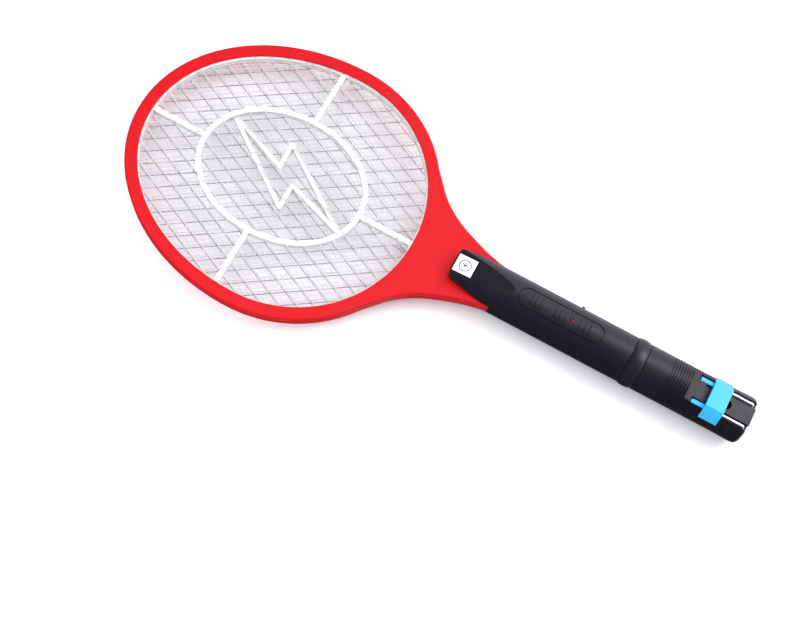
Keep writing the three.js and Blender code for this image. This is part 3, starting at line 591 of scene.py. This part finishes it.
def windingTape():  # layers of amber film with the wire showing through
    made = plastic("windingTape", (0.78, 0.5, 0.08), (0.62, 0.36, 0.05), 0.26, grain=0.4, bump=0.2)
    tree = made.node_tree
    turns = pattern(tree, "ShaderNodeTexWave", {"Scale": 700.0, "Distortion": 0.8}, bands_direction="Z")
    return paintedOver(made, calc(tree, "MULTIPLY", turns.outputs["Fac"], 0.5), (0.42, 0.18, 0.04, 1))


print("materials made")


headValues = {
    "openX": 115, "openY": 101.5, "widest": 14, "band": 10, "squareness": 2.02, "points": 192,
    "half": 6.0, "lip": 1.5, "pocket": 4.3, "corner": 1.5, "seam": 0.1,
    "throatFrom": 104, "throat": [(113, 55.5), (124, 44), (141, 33), (165, 23.5), (178, 19.9), (187, 17.9)],
    "throatEnd": 189.3, "neck": 13.5, "neckEnd": 212,
}


def eggPoint(angle, halfX, halfY, widest=headValues["widest"]):  # widest nearer the handle than the tip
    power = 2 / headValues["squareness"]
    c, s = math.cos(angle), math.sin(angle)
    length = halfX - math.copysign(widest, c)
    return widest + length * math.copysign(abs(c) ** power, c), halfY * math.copysign(abs(s) ** power, s)


def oval(grow):  # the head's opening, larger or smaller by grow
    v = headValues
    angles = [2 * math.pi * i / v["points"] for i in range(v["points"])]
    return [eggPoint(angle, v["openX"] + grow, v["openY"] + grow) for angle in angles]


def frameOutline():
    v = headValues
    outerX, outerY = v["openX"] + v["band"], v["openY"] + v["band"]
    share = (v["throatFrom"] - v["widest"]) / (outerX - v["widest"])
    start = math.acos(share ** (v["squareness"] / 2))
    sweep = 2 * math.pi - 2 * start
    around = [eggPoint(start + sweep * i / v["points"], outerX, outerY) for i in range(v["points"] + 1)]
    upper = smoothCurve([around[0], *v["throat"]], 8)[1:]
    upper += [(v["throatEnd"], v["throat"][-1][1]), (v["throatEnd"], v["neck"]), (v["neckEnd"], v["neck"])]
    lower = [(x, -y) for x, y in upper]
    return around + lower + upper[::-1]


def makeFrames():
    v = headValues
    front = plate("frameFront", frameOutline(), v["seam"], v["half"])
    roundEdges(front, v["corner"], 5, 40, lambda p: p.z > v["half"] - 0.01 and p.x < v["throatEnd"] - 1)
    roundEdges(front, 0.25, 2, 40, lambda p: p.z < v["seam"] + 0.01)
    mouth = [(-0.5, 0), (-0.2, 0.08), (-0.05, 0.25), (0.2, 0.6)]  # the opening flares at the front
    levels = [(-1, 0)] + [(v["half"] + rise, grow) for rise, grow in mouth]
    opening = loft("opening", [[(x, y, z) for x, y in oval(grow)] for z, grow in levels])
    pocket = plate("pocket", oval(v["pocket"]), -1, v["half"] - v["lip"])
    cut(front, opening, pocket)
    rear = mirrored(front, "frameRear")
    finishPiece(front, "frameFrontRed", redFrame, ["front_frame"])
    finishPiece(rear, "frameRearRed", redFrame, ["rear_frame"])


makeFrames()
print("frames made")

spacerValues = {
    "low": 0.78, "high": 3.1, "inward": 1, "gap": 0.3,
    "ovalX": 68, "ovalY": 52, "stroke": 4, "boltStroke": 3.6, "tipReach": 0.5, "corner": 0.7,
    "bolt": [(-57, 26), (-5, 6), (-6, 27.5), (61, -20), (11, -3), (11.5, -24)],
}


def offsetLoop(points, distance):  # a closed outline moved outwards, with its sharp tips squared off
    area = sum(a[0] * b[1] - b[0] * a[1] for a, b in zip(points, points[1:] + points[:1]))
    outward = math.copysign(1, area)
    moved = []
    for ends in zip(points[-1:] + points, points, points[1:] + points[:1]):
        before, here, after = (Vector(p) for p in ends)
        a, b = (here - before).normalized(), (after - here).normalized()
        sideA, sideB = Vector((a.y, -a.x)) * outward, Vector((b.y, -b.x)) * outward
        across = (sideA + sideB).normalized()
        if across.dot(sideA) < 0.5 and distance > 0:
            tip = distance * spacerValues["tipReach"]
            moved += [tuple(here + sideA * distance + a * tip), tuple(here + sideB * distance - b * tip)]
        else:
            moved.append(tuple(here + across * distance / max(across.dot(sideA), 0.05)))
    return moved


def ringPlate(name, outer, inner, low, high):
    return cut(plate(name, outer, low, high), plate("hole", inner, low - 1, high + 1))


def makeSpacers():
    v = spacerValues
    low, high, half = v["low"], v["high"], v["stroke"] / 2
    rim = ringPlate("rim", oval(headValues["pocket"] - v["gap"]), oval(-v["inward"]), low, high)
    angles = [2 * math.pi * i / 120 for i in range(120)]
    outer, inner = ([eggPoint(a, v["ovalX"] + grow, v["ovalY"] + grow, 0) for a in angles]
                    for grow in (half, -half))
    badge = ringPlate("badge", outer, inner, low, high)
    outer, inner = (offsetLoop(v["bolt"], side * v["boltStroke"] / 2) for side in (1, -1))
    bolt = ringPlate("bolt", outer, inner, low, high)
    weld(rim, badge, bolt)
    reachX, reachY = headValues["openX"] + 1, headValues["openY"] + 1
    for x, y in ((1, 0), (-1, 0), (0, 1), (0, -1)):
        xs = sorted((x * v["ovalX"], x * reachX)) if x else (-half, half)
        ys = sorted((y * v["ovalY"], y * reachY)) if y else (-half, half)
        weld(rim, box("spoke", xs, ys, (low, high)))
    roundEdges(rim, v["corner"], 3, 50, lambda p: p.z > high - 0.01)
    front = finishPiece(rim, "spacerFrontWhite", whiteSpacer, ["front_spacer"])
    rear = mirrored(front, "spacerRearWhite")
    finishPiece(rear, "spacerRearWhite", whiteSpacer, ["rear_spacer"])


makeSpacers()
print("spacers made")

gridValues = {
    "outer": {"pitch": 10.4, "wire": 0.36, "angles": (34.5, -24.8), "levels": (3.6, 4.0), "wobble": 0.35},
    "center": {"pitch": 4.0, "wire": 0.2, "angles": (37.6, -34.6), "levels": (-0.2, 0.2), "wobble": 0.25},
    "rim": 3, "steps": 14,
}


def wireEnds(offset, angle, grow):  # where a straight line at that offset and angle meets the oval
    v = headValues
    along = Vector((math.cos(angle), math.sin(angle)))
    side = Vector((-along.y, along.x)) * offset
    inside = []
    for i in range(-1200, 1201):
        p = side + along * (i * 0.1)
        length = v["openX"] + grow - math.copysign(v["widest"], p.x - v["widest"])
        x, y = abs(p.x - v["widest"]) / length, abs(p.y) / (v["openY"] + grow)
        if x ** v["squareness"] + y ** v["squareness"] <= 1:
            inside.append(p)
    return (inside[0], inside[-1]) if len(inside) > 20 else None


def makeGrid(name, values, sides, replaced, seed, look=litWire):
    grow = headValues["pocket"] - 1.6
    curve = bpy.data.curves.new(name, "CURVE")
    curve.dimensions = "3D"
    curve.bevel_depth = values["wire"] / 1000
    curve.bevel_resolution = sides
    curve.use_fill_caps = True
    for layer, (degrees, level) in enumerate(zip(values["angles"], values["levels"])):
        angle = math.radians(degrees)
        count = int((headValues["openX"] + grow) / values["pitch"])
        for i in range(-count, count + 1):
            ends = wireEnds(i * values["pitch"], angle, grow)
            if not ends:
                continue
            start, end = ends
            line = curve.splines.new("POLY")
            line.points.add(gridValues["steps"])
            for k, point in enumerate(line.points):
                share = k / gridValues["steps"]
                spot = start.lerp(end, share)
                slack = math.sin(math.pi * share) ** 0.5 * values["wobble"]
                drift = noise.noise(Vector((spot.x * 0.02 + seed, spot.y * 0.02, layer * 7.0 + i * 0.13)))
                lift = noise.noise(Vector((spot.x * 0.012, spot.y * 0.012 + seed, 3.0)))
                side = Vector((-math.sin(angle), math.cos(angle))) * drift * slack
                point.co = (*at(spot.x + side.x, spot.y + side.y, level + lift * slack * 0.5), 1)
    wires = bpy.data.objects.new(name, curve)
    bpy.context.scene.collection.objects.link(wires)
    use(wires)
    bpy.ops.object.convert(target="MESH")
    wires = bpy.context.object
    outerEdge = headValues["pocket"] - 0.3
    middle = sum(values["levels"]) / 2
    rim = ringPlate("rim", oval(outerEdge), oval(outerEdge - gridValues["rim"]), middle - 0.35, middle + 0.35)
    finishPiece(joined(wires, rim), name, look, [replaced], angle=60)


# the front and centre grids take the lit copy of the wire steel, a painted light
makeGrid("gridFrontWire", gridValues["outer"], 2, "front_mesh", 1.7)
makeGrid("gridCenterWire", gridValues["center"], 1, "center_mesh", 5.1)
rearGrid = {**gridValues["outer"], "levels": tuple(-z for z in gridValues["outer"]["levels"])}
# the rear grid takes the shaded copy of the wire steel, a painted shade
makeGrid("gridRearWire", rearGrid, 2, "rear_mesh", 9.3, shadedWire)
print("grids made")

handleValues = {
    "radius": 18.6, "wall": 2.4, "steps": 128, "seam": 0.08,
    "tip": 150.5, "tipHalf": 12, "corner": 5, "full": 191,
    "facetTip": 14.3, "facetEnd": 201.5, "facetEdge": 0.3,
    "throatRoom": 6.27, "throatEnd": 189.5, "end": 384, "joinRadius": 17.3,
    "collar": (300.4, 312.1), "seat": 17.4,
    "ribStart": 331.6, "ribs": 17, "ribPitch": 2.2, "ribWidth": 1.1, "ribDepth": 0.75,
}
bedValues = {
    "start": 349, "top": 14.5, "deck": 3, "slotStart": 354, "slot": (7, 12), "floor": 9.6,
    "recess": (360, 369), "recessHalf": 6.6, "notch": 379.2, "notchRadius": 4.1, "depth": 2, "tail": 400.8,
}
panelValues = {
    "x": (204.8, 276.4), "half": 8, "line": 0.8, "depth": 0.8,
    "marks": (220.4, 240.6, 261.1), "bars": (-4, 0, 4),
    "barWidth": 1.7, "barHalf": 4.6, "barLow": 17, "proud": 0.7,
}
controlValues = {
    "nubs": (254, 263), "travel": 3, "nubHalf": 1.25, "gap": 0.3, "button": 276.5, "buttonHalf": (4.5, 2.5),
}
screwValues = {
    "handle": [(218, 0, -15), (290, 0, -15), (350.5, 0, -15)],
    "neck": [(168, -8.5, -12.8), (168, 8.5, -12.8)],
    "headRadius": 2.6, "headHeight": 1.9, "gap": 0.3, "post": 3.2, "bore": 1.5,
}
labelValues = {
    "length": 15.5, "width": 14.5, "proud": 0.2, "recess": 0.5, "gap": 0.3, "edge": 0.08,
    "ring": (4.9, 4.1), "ink": 0.03,
    "bolt": [(-3, 1.6), (0.2, 0.5), (-0.4, 2.2), (3, -1.2), (0.3, -0.2), (0.7, -2)],
}
facetLength = handleValues["facetEnd"] - handleValues["tip"]
facetRise = (handleValues["radius"] - handleValues["facetTip"]) / facetLength
beyond, pastTail = 40, 420  # cutters reach past the handle's sides and its end
allAcross = (-beyond, beyond)


def about(middle, half):
    return middle - half, middle + half


def drum(name, start, end, radius, steps=handleValues["steps"]):  # a round bar on the handle's axis
    return spun(name, [(start, 0), (start, radius), (end, radius), (end, 0)], steps)


def roundedEnd(end, radius, corner, step, bulge=0):
    x, middle = end - corner, radius - corner
    angles = [math.radians(a) for a in range(0, 91, step)]
    return [(x + corner * math.sin(a), middle + (corner + bulge) * math.cos(a)) for a in angles]


def onFacet(u, y, h):  # along the sloping flat from the label's middle, across it, and above it
    v = handleValues
    x = sum(span("label_plate", 0)) / 2
    slope = math.atan(facetRise)
    z = v["facetTip"] + (x - v["tip"]) * facetRise
    return x + u * math.cos(slope) - h * math.sin(slope), y, z + u * math.sin(slope) + h * math.cos(slope)


def facetPlate(name, outline, low, high):
    return loft(name, [[onFacet(u, y, h) for u, y in outline] for h in (low, high)])


def labelOutline(grow):
    long, wide = labelValues["length"] / 2 + grow, labelValues["width"] / 2 + grow
    return [(-long, -wide), (long, -wide), (long, wide), (-long, wide)]


def tubeProfile():
    v = handleValues
    radius = v["radius"]
    seatLow, seatHigh = v["collar"]
    points = [(v["tip"] - 1, 0), (v["tip"] - 1, radius),
              (seatLow - 0.25, radius), (seatLow, radius - 0.25), (seatLow, v["seat"]),
              (seatHigh, v["seat"]), (seatHigh, radius - 0.25), (seatHigh + 0.25, radius)]
    for i in range(v["ribs"]):
        x = v["ribStart"] + i * v["ribPitch"]
        deep = radius - v["ribDepth"]
        points += [(x, radius), (x + 0.15, radius - 0.12), (x + 0.3, deep), (x + v["ribWidth"] - 0.3, deep),
                   (x + v["ribWidth"] - 0.15, radius - 0.12), (x + v["ribWidth"], radius)]
    return points + [(v["end"] - 0.2, radius), (v["end"], radius - 0.2), (v["end"], 0)]


def noseOutline():
    v = handleValues
    tip, half, corner, wide = v["tip"], v["tipHalf"], v["corner"], v["radius"] + 0.8
    curve = []
    for i in range(9):  # the rounded corner at the tip
        t = i / 8
        across = (half - corner) + 2 * corner * t * (1 - t) + (corner + 0.6) * t ** 2
        curve.append((tip + corner * t ** 2, across))
    upper = [*curve, (v["full"], wide), (v["end"] + 20, wide)]
    return [(x, -y) for x, y in reversed(upper)] + upper


def handleSkin():
    v = handleValues
    skin = spun("skin", tubeProfile(), v["steps"])
    combine(skin, plate("nose", noseOutline(), -30, 30), "INTERSECT")
    facet = [(v["tip"] - 5, v["facetTip"] - 5 * facetRise), (v["facetEnd"] + 2, v["radius"] + 2 * facetRise),
             (v["facetEnd"] + 2, beyond), (v["tip"] - 5, beyond)]
    cut(skin, sidePlate("facet", facet, *allAcross))
    cut(skin, sidePlate("facetBack", [(x, -z) for x, z in facet], *allAcross))
    roundEdges(skin, v["facetEdge"], 3, 24, lambda p: p.x < v["facetEnd"] + 3)
    room, neck = about(0, v["throatRoom"]), about(0, headValues["neck"] + 0.3)
    return cut(skin, drum("cavity", v["throatEnd"] + 2, v["end"] + 1, v["radius"] - v["wall"]),
               box("throatRoom", (v["tip"] - 9, v["throatEnd"]), allAcross, room),
               box("neckRoom", (v["throatEnd"] - 1, v["throatEnd"] + 4), neck, room))


def sideOpenings():
    c = controlValues
    ys = (handleValues["radius"] - 5, beyond)
    side = c["nubHalf"] + c["gap"]
    slots = [(x - side, x + c["travel"] + side) for x in c["nubs"]]
    nubSlots = [box("nubSlot", xs, ys, about(0, side - 0.35)) for xs in slots]
    long, tall = (half + c["gap"] for half in c["buttonHalf"])
    return *nubSlots, box("buttonHole", about(c["button"], long), ys, about(0, tall))


def racetrack(grow, steps=20):
    p = panelValues
    start, end, half = p["x"][0] + p["half"], p["x"][1] - p["half"], p["half"] + grow
    return arcPoints(end, 0, half, -90, 90, steps) + arcPoints(start, 0, half, 90, 270, steps)


def matteFacetShaded(shell, facing):  # the flat facet is duller than the round tube, and its colour is darkened as painted shade
    shell.data.materials.append(blackFacetPaintedShade)
    for index in facesTowards(shell, facing, 0.81):
        shell.data.polygons[index].material_index = 1


def engrave(piece, outline, inner, depth):  # a groove of even depth in the round top
    line = ringPlate("line", outline, inner, 12, 24)
    cut(piece, cut(line, drum("core", 195, 300, handleValues["radius"] - depth)))


def raisePads(piece, bars, proud):  # low pads that follow the round top
    sleeve = drum("sleeve", 200, 298, handleValues["radius"] + proud)
    for bar in bars:
        combine(bar, copyOf(sleeve, "sleeveCopy"), "INTERSECT")
        roundEdges(bar, 0.14, 2, 30, lambda p: p.z > handleValues["radius"] - 3)
        weld(piece, bar)
    bpy.data.objects.remove(sleeve, do_unlink=True)


def makeFrontShell(skin):
    v, b, p = handleValues, bedValues, panelValues
    half = box("frontHalf", (100, 500), allAcross, (v["seam"], beyond))
    shell = combine(copyOf(skin, "shellFront"), half, "INTERSECT")
    back = b["start"] - v["wall"]
    under = b["top"] - b["deck"]
    above = [(b["start"], pastTail), allAcross, (b["top"], beyond)]
    form = drum("deckForm", back, v["end"] - 0.1, v["joinRadius"])
    combine(form, box("deck", (back - 1, v["end"]), allAcross, (under, beyond)), "INTERSECT")
    weld(shell, cut(form, box("above", *above)))
    weld(shell, box("tongue", (v["end"] - 2, b["tail"]), about(0, b["slot"][0]), (under, b["top"])))
    cut(shell, box("above", *above))
    for side in (-1, 1):
        ys = sorted((side * b["slot"][0], side * b["slot"][1]))
        cut(shell, box("channel", (b["slotStart"], pastTail), ys, (under - 5, beyond)))
    deep = (b["top"] - b["depth"], beyond)
    cut(shell, box("recess", b["recess"], about(0, b["recessHalf"]), deep),
        box("narrow", (b["recess"][0], b["notch"]), about(0, b["notchRadius"]), deep),
        rod("notch", (b["notch"], 0, under - 1), (b["notch"], 0, beyond), b["notchRadius"], 48))
    cut(shell, facetPlate("labelRecess", labelOutline(labelValues["gap"]), -labelValues["recess"], 3))
    ledX = sum(span("indicator_led", 0)) / 2
    cut(shell, rod("ledHole", (ledX, 0, 10), (ledX, 0, 30), 1.75, 40), *sideOpenings())
    engrave(shell, racetrack(0), racetrack(-p["line"]), p["depth"])
    barPlaces = [about(x + offset, p["barWidth"] / 2) for x in p["marks"] for offset in p["bars"]]
    bars = [box("bar", xs, about(0, p["barHalf"]), (p["barLow"], 30)) for xs in barPlaces]
    raisePads(shell, bars, p["proud"])
    creaseAround(shell, (-facetRise, 0, 1))
    finishPiece(shell, "shellFrontBlack", blackShell, ["front_handle_shell"])
    matteFacetShaded(shell, (-facetRise, 0, 1))


def makeRearShell(skin):
    v, s = handleValues, screwValues
    half = box("rearHalf", (100, 500), allAcross, (-beyond, -v["seam"]))
    shell = combine(copyOf(skin, "shellRear"), half, "INTERSECT")
    for x, y, seat in s["handle"] + s["neck"]:
        low, high = (-17.5, -1) if y == 0 else (seat - 1, -v["throatRoom"] - 0.5)
        weld(shell, rod("post", (x, y, low), (x, y, high), s["post"]))
        cut(shell, rod("sink", (x, y, -beyond), (x, y, seat), s["headRadius"] + s["gap"], 40),
            rod("bore", (x, y, -beyond), (x, y, 0), s["bore"]))
    cut(shell, *sideOpenings())
    creaseAround(shell, (-facetRise, 0, -1))
    finishPiece(shell, "shellRearBlack", blackShell, ["rear_handle_shell"])
    matteFacetShaded(shell, (-facetRise, 0, -1))


skin = handleSkin()
makeFrontShell(skin)
makeRearShell(skin)
bpy.data.objects.remove(skin, do_unlink=True)
print("handle shells made")


collarValues = {"gap": 0.3, "shoulder": 0.25, "bulge": 1.2, "roundness": 0.7, "steps": 24}


def makeCollar():  # a bulge between two crisp shoulders
    v, c = handleValues, collarValues
    start, end = v["collar"][0] + c["gap"], v["collar"][1] - c["gap"]
    inner = v["seat"] + c["gap"]
    outer = []
    for i in range(c["steps"] + 1):
        share = i / c["steps"]
        bulge = c["bulge"] * math.sin(math.pi * share) ** c["roundness"]
        outer.append((start + (end - start) * share, v["radius"] - c["shoulder"] + bulge))
    ring = spun("collar", [(start, inner), *outer, (end, inner)], 144)
    finishPiece(ring, "collarRingBlack", blackCollar, ["collar_ring"], angle=40)


makeCollar()


tailValues = {
    "start": 384.3, "flare": 0.3, "corner": 3.4, "wall": 2.6, "gap": 0.15, "roomStart": 380,
    "groove": [(-5.7, 0.28), (-5.5, 0.02), (-5.2, 0.02), (-5.0, 0.2)],
}


def makeTailCap():
    v, b, t = handleValues, bedValues, tailValues
    start, end, radius = t["start"], b["tail"], v["radius"]
    outer = [(start, 0), (start, radius - 0.2), (start + 0.2, radius)]
    flare = [t["flare"] * math.sin(math.pi * min(1, i / 9) / 2) for i in range(10)]
    outer += [(start + 1 + i, radius + rise) for i, rise in enumerate(flare)]
    outer += [(end + back, radius + rise) for back, rise in t["groove"]]
    cap = spun("cap", [*outer, *roundedEnd(end, radius, t["corner"], 10, 0.1), (end, 0)], v["steps"])
    xs = (t["roomStart"], pastTail)
    tongue = about(0, b["slot"][0] + t["gap"])
    cut(cap, drum("hollow", t["roomStart"], end - t["wall"], radius - v["wall"]),
        box("tongueRoom", xs, tongue, (b["top"] - b["deck"] - t["gap"], beyond)))
    for side in (-1, 1):
        ys = sorted((side * (b["slot"][0] - 0.5), side * b["slot"][1]))
        cut(cap, box("channel", xs, ys, (b["floor"], beyond)))
    finishPiece(cap, "tailCapBlack", blackShell, ["tail_cap"])


makeTailCap()
print("collar and tail made")

sliderValues = {
    "bridge": (365, 379.5), "topHalf": 9.7, "top": 19.1, "footHalf": 17.4, "foot": 9.3,
    "edge": 0.3, "clearance": 0.6,
    "legStart": 355, "legHalf": 1.65, "legTop": 12.9, "web": 2.1, "webLow": 9.9,
    "carriage": (357, 376.5), "carriageHalf": 11.2, "carriageZ": (7, 11.2),
    "pinY": 9.5, "pinZ": 12.6, "pinRadius": 2, "pinEnd": 398.3, "pinNose": 1.2,
    "boreStart": 366, "bore": 1.4, "stemStart": 366.5, "stem": 1.1,
}


def makeSlider():
    s, b = sliderValues, bedValues
    low, high = s["bridge"]
    wide, narrow = s["footHalf"], s["topHalf"]
    section = [(-wide, s["foot"]), (wide, s["foot"]), (narrow, s["top"]), (-narrow, s["top"])]
    slider = crossPlate("slider", section, low, high)
    room = drum("room", low - 2, high + 2, handleValues["radius"] + s["clearance"], 160)
    combine(room, box("bedRoom", (low - 3, high + 3), allAcross, (-beyond, b["top"] + 0.3)), "INTERSECT")
    cut(slider, room)
    roundEdges(slider, s["edge"], 2, 30, lambda p: p.z > s["foot"] + 0.3 and abs(p.y) > 9 or p.z > 17)
    for side in (-1, 1):
        y = side * sum(b["slot"]) / 2
        weld(slider, box("web", (low + 0.3, high - 0.3), about(y, s["web"]), (s["webLow"], b["top"] + 1)))
        leg = box("leg", (s["legStart"], low + 2), about(y, s["legHalf"]), (s["webLow"], s["legTop"]))
        roundEdges(leg, 0.35, 2, 30)
        weld(slider, leg)
    weld(slider, box("carriage", s["carriage"], about(0, s["carriageHalf"]), s["carriageZ"]))
    for side in (-1, 1):
        y = side * s["pinY"]
        cut(slider, rod("bore", (s["boreStart"], y, s["pinZ"]), (high + 1, y, s["pinZ"]), s["bore"], 24))
    finishPiece(slider, "plugSliderBlue", bluePlastic, ["plug_slider"], "plug")


def makePin(side, name, replaced):
    s = sliderValues
    start, end, r = s["bridge"][1] + 0.3, s["pinEnd"], s["pinRadius"]
    profile = [(s["stemStart"], 0), (s["stemStart"], s["stem"]), (start, s["stem"]), (start, r - 0.15),
               (start + 0.15, r), *roundedEnd(end, r, s["pinNose"], 15), (end, 0)]
    pin = spun("pin", profile, 48, side * s["pinY"], s["pinZ"])
    finishPiece(pin, name, nickelPin, [replaced], "plug")


makeSlider()
makePin(1, "plugPinLeft", "plug_pin_left")
makePin(-1, "plugPinRight", "plug_pin_right")
print("plug made")


def makeLabel():
    v = labelValues
    label = facetPlate("label", labelOutline(0), -v["proud"], v["proud"])
    roundEdges(label, v["edge"], 2, 30)
    finishPiece(label, "labelPlateWhite", labelPaper, ["label_plate"])
    outer, inner = (arcPoints(0, 0, radius, 0, 352.5, 47) for radius in v["ring"])
    low, high = v["proud"] + 0.005, v["proud"] + 0.005 + v["ink"]
    mark = cut(facetPlate("ring", outer, low, high), facetPlate("ringHole", inner, low - 1, high + 1))
    joined(mark, facetPlate("bolt", v["bolt"], low, high))
    finishPiece(mark, "labelMarkNavy", navyInk, [])


def makeLed():
    v = {"lens": 1.5, "flange": 1.9, "flangeZ": (13, 14), "leg": 0.25, "legEnd": -2.3, "pitch": 1.27}
    x, top = sum(span("indicator_led", 0)) / 2, span("indicator_led", 2)[1]
    low, high = v["flangeZ"]
    shoulder = top - v["lens"]
    dome = [(shoulder + v["lens"] * math.sin(math.radians(a)), v["lens"] * math.cos(math.radians(a)))
            for a in range(0, 90, 10)]
    profile = [(low, 0), (low, v["flange"] - 0.1), (low + 0.1, v["flange"]), (high - 0.1, v["flange"]),
               (high, v["flange"] - 0.1), (high, v["lens"]), *dome, (top, 0)]
    led = spunUp("led", profile, x, 0, 40)
    for side in (-1, 1):
        legX = x + side * v["pitch"]
        joined(led, box("leg", about(legX, v["leg"]), about(0, v["leg"]), (v["legEnd"], low + 0.4)))
    finishPiece(led, "ledLensRed", ledLens, ["indicator_led"])


def makeKnobs():
    c = {**controlValues, "tops": (21.2, 19.7), "inner": 13.9, "base": (1.75, 1, 1.4), "half": (1.25, 0.85),
         "edge": 0.28, "grip": 0.16, "grips": (-0.55, 0, 0.55)}
    halfX, halfZ = c["half"]
    wide, deep, tall = c["base"]
    knobs = []
    for x, top in zip(c["nubs"], c["tops"]):
        knob = box("knob", about(x, halfX), (c["inner"], top), about(0, halfZ))
        roundEdges(knob, c["edge"], 4, 30, lambda p: p.y > c["inner"] + 0.1)
        for grip in c["grips"]:
            cut(knob, rod("grip", (x + grip, top + 0.03, -3), (x + grip, top + 0.03, 3), c["grip"], 12))
        foot = box("foot", about(x, wide), (c["inner"], c["inner"] + deep), about(0, tall))
        knobs.append(weld(knob, roundEdges(foot, 0.15, 2, 30)))
    finishPiece(knobs[0], "powerKnobBlack", blackKnob, ["power_switch_knob"], "power_knob")
    finishPiece(knobs[1], "modeKnobRed", redKnob, ["mode_switch_knob"], "mode_knob")


def makeButton():
    v = {"low": 13.6, "top": 19, "slope": 1, "drop": 0.7, "edge": 0.35, "dimple": 16, "depth": 0.35,
         "flange": (5.7, 3.3), "flangeHigh": 14.9}
    x, (long, tall) = controlValues["button"], controlValues["buttonHalf"]
    shoulder = v["top"] - v["drop"]
    outline = [(x - long, v["low"]), (x + long, v["low"]), (x + long, shoulder),
               (x + long - v["slope"], v["top"]), (x - long + v["slope"], v["top"]), (x - long, shoulder)]
    button = plate("button", outline, -tall, tall)
    roundEdges(button, v["edge"], 4, 20, lambda p: p.y > v["low"] + 0.1)
    middle = v["top"] + v["dimple"] - v["depth"]
    cut(button, rod("dimple", (x, middle, -10), (x, middle, 10), v["dimple"], 180))
    wide, high = v["flange"]
    foot = box("foot", about(x, wide), (v["low"], v["flangeHigh"]), about(0, high))
    weld(button, roundEdges(foot, 0.2, 2, 30))
    finishPiece(button, "triggerButtonBlue", bluePlastic, ["trigger_button"], "trigger")


def makeEyelet():
    v = {"x": 111.4, "y": -9, "low": 4.5, "high": 5.1, "radius": 2.3, "hole": 1.3, "edge": 0.15, "wire": 0.29,
         "wireEnd": 9, "barrel": (2.2, 4.4), "barrelHalf": 0.75}
    x, y, low, high = v["x"], v["y"], v["low"], v["high"]
    e, outer, inner = v["edge"], v["radius"], v["hole"]
    profile = [(low + e, outer), (low, outer - e), (low, inner + e), (low + e, inner),
               (high - e, inner), (high, inner + e), (high, outer - e), (high - e, outer)]
    ring = spunUp("eyelet", profile, x, y, 48)
    start, end = v["barrel"]
    barrel = box("barrel", (x - end, x - start), about(y, v["barrelHalf"]), (low, high))
    weld(ring, roundEdges(barrel, 0.2, 3, 30))
    middle = (low + high) / 2
    weld(ring, rod("tail", (x - v["wireEnd"], y, middle), (x - start - 0.5, y, middle), v["wire"], 16))
    finishPiece(ring, "gridEyeletTin", tinnedTerminal, ["mesh_terminal"])


def makeScrew(x, y, seat, tip):  # a pan head with a cross, and a threaded shank
    v = {**screwValues, "shank": 1.2, "thread": 0.95, "pitch": 1.1, "cross": (1.5, 0.35), "crossDepth": 0.9}
    low, high, wide = seat - v["headHeight"], seat - v["gap"], v["headRadius"]
    profile = [(low, 0), (low, wide - 0.9), (low + 0.12, wide - 0.45), (low + 0.4, wide - 0.12),
               (low + 0.8, wide), (high, wide), (high, v["shank"])]
    turns = int((tip - seat - 4) / v["pitch"])
    for i in range(turns):
        z = seat + 1.5 + i * v["pitch"]
        profile += [(z, v["thread"]), (z + v["pitch"] / 2, v["shank"])]
    screw = spunUp("screw", [*profile, (tip - 1.5, v["thread"]), (tip, 0.2), (tip, 0)], x, y, 32)
    long, narrow = v["cross"]
    for u, w in ((long, narrow), (narrow, long)):
        cut(screw, box("cross", about(x, u), about(y, w), (low - 1, low + v["crossDepth"])))
    return screw


def makeScrews():
    for kind, tip in (("handle", 8), ("neck", 10.5)):
        (startX, startY, seat), *others = screwValues[kind]
        first = makeScrew(startX, startY, seat, tip)
        copies = [shifted(first, "screw", x - startX, y - startY) for x, y, _ in others]
        for i, screw in enumerate([first, *copies], 1):
            finishPiece(screw, f"{kind}Screw{i}", zincScrew, [f"{kind}_screw_{i}"])


makeLabel()
makeLed()
makeKnobs()
makeButton()
makeEyelet()
makeScrews()
print("label, controls and screws made")


def makeFloor():
    deselect()
    bpy.ops.mesh.primitive_plane_add(size=9, location=(0, 0, cadLow.z - 0.0006))
    floor = bpy.context.object
    floor.name = "floor"
    paint = startMaterial("paleFloor", {"Base Color": (0.93, 0.93, 0.95, 1), "Roughness": 0.7})
    floor.data.materials.append(paint)
    floor.visible_glossy = False


makeFloor()

# The pieces that stay as the frame has them.
looks = {
    "terminal_metal": tinnedTerminal, "black_insulation": blackSleeve, "red_insulation": redSleeve,
    "contact_metal": springBronze, "switch_metal": switchCan, "black_component": blackEpoxy,
    "green_board": solderMask(), "ferrite": greyFerrite, "winding_tape": windingTape(),
    "film_capacitor": dippedFilm, "resistor_body": resistorBody(), "cell_wrap": cellWrap(),
}
for entry in frame["record"]["subparts"]:
    piece = frame["nodes"][entry["node"]]
    if not piece.hide_render:
        piece.data.materials.clear()
        piece.data.materials.append(looks[entry["material_slot"]])
print("inner pieces given their materials")
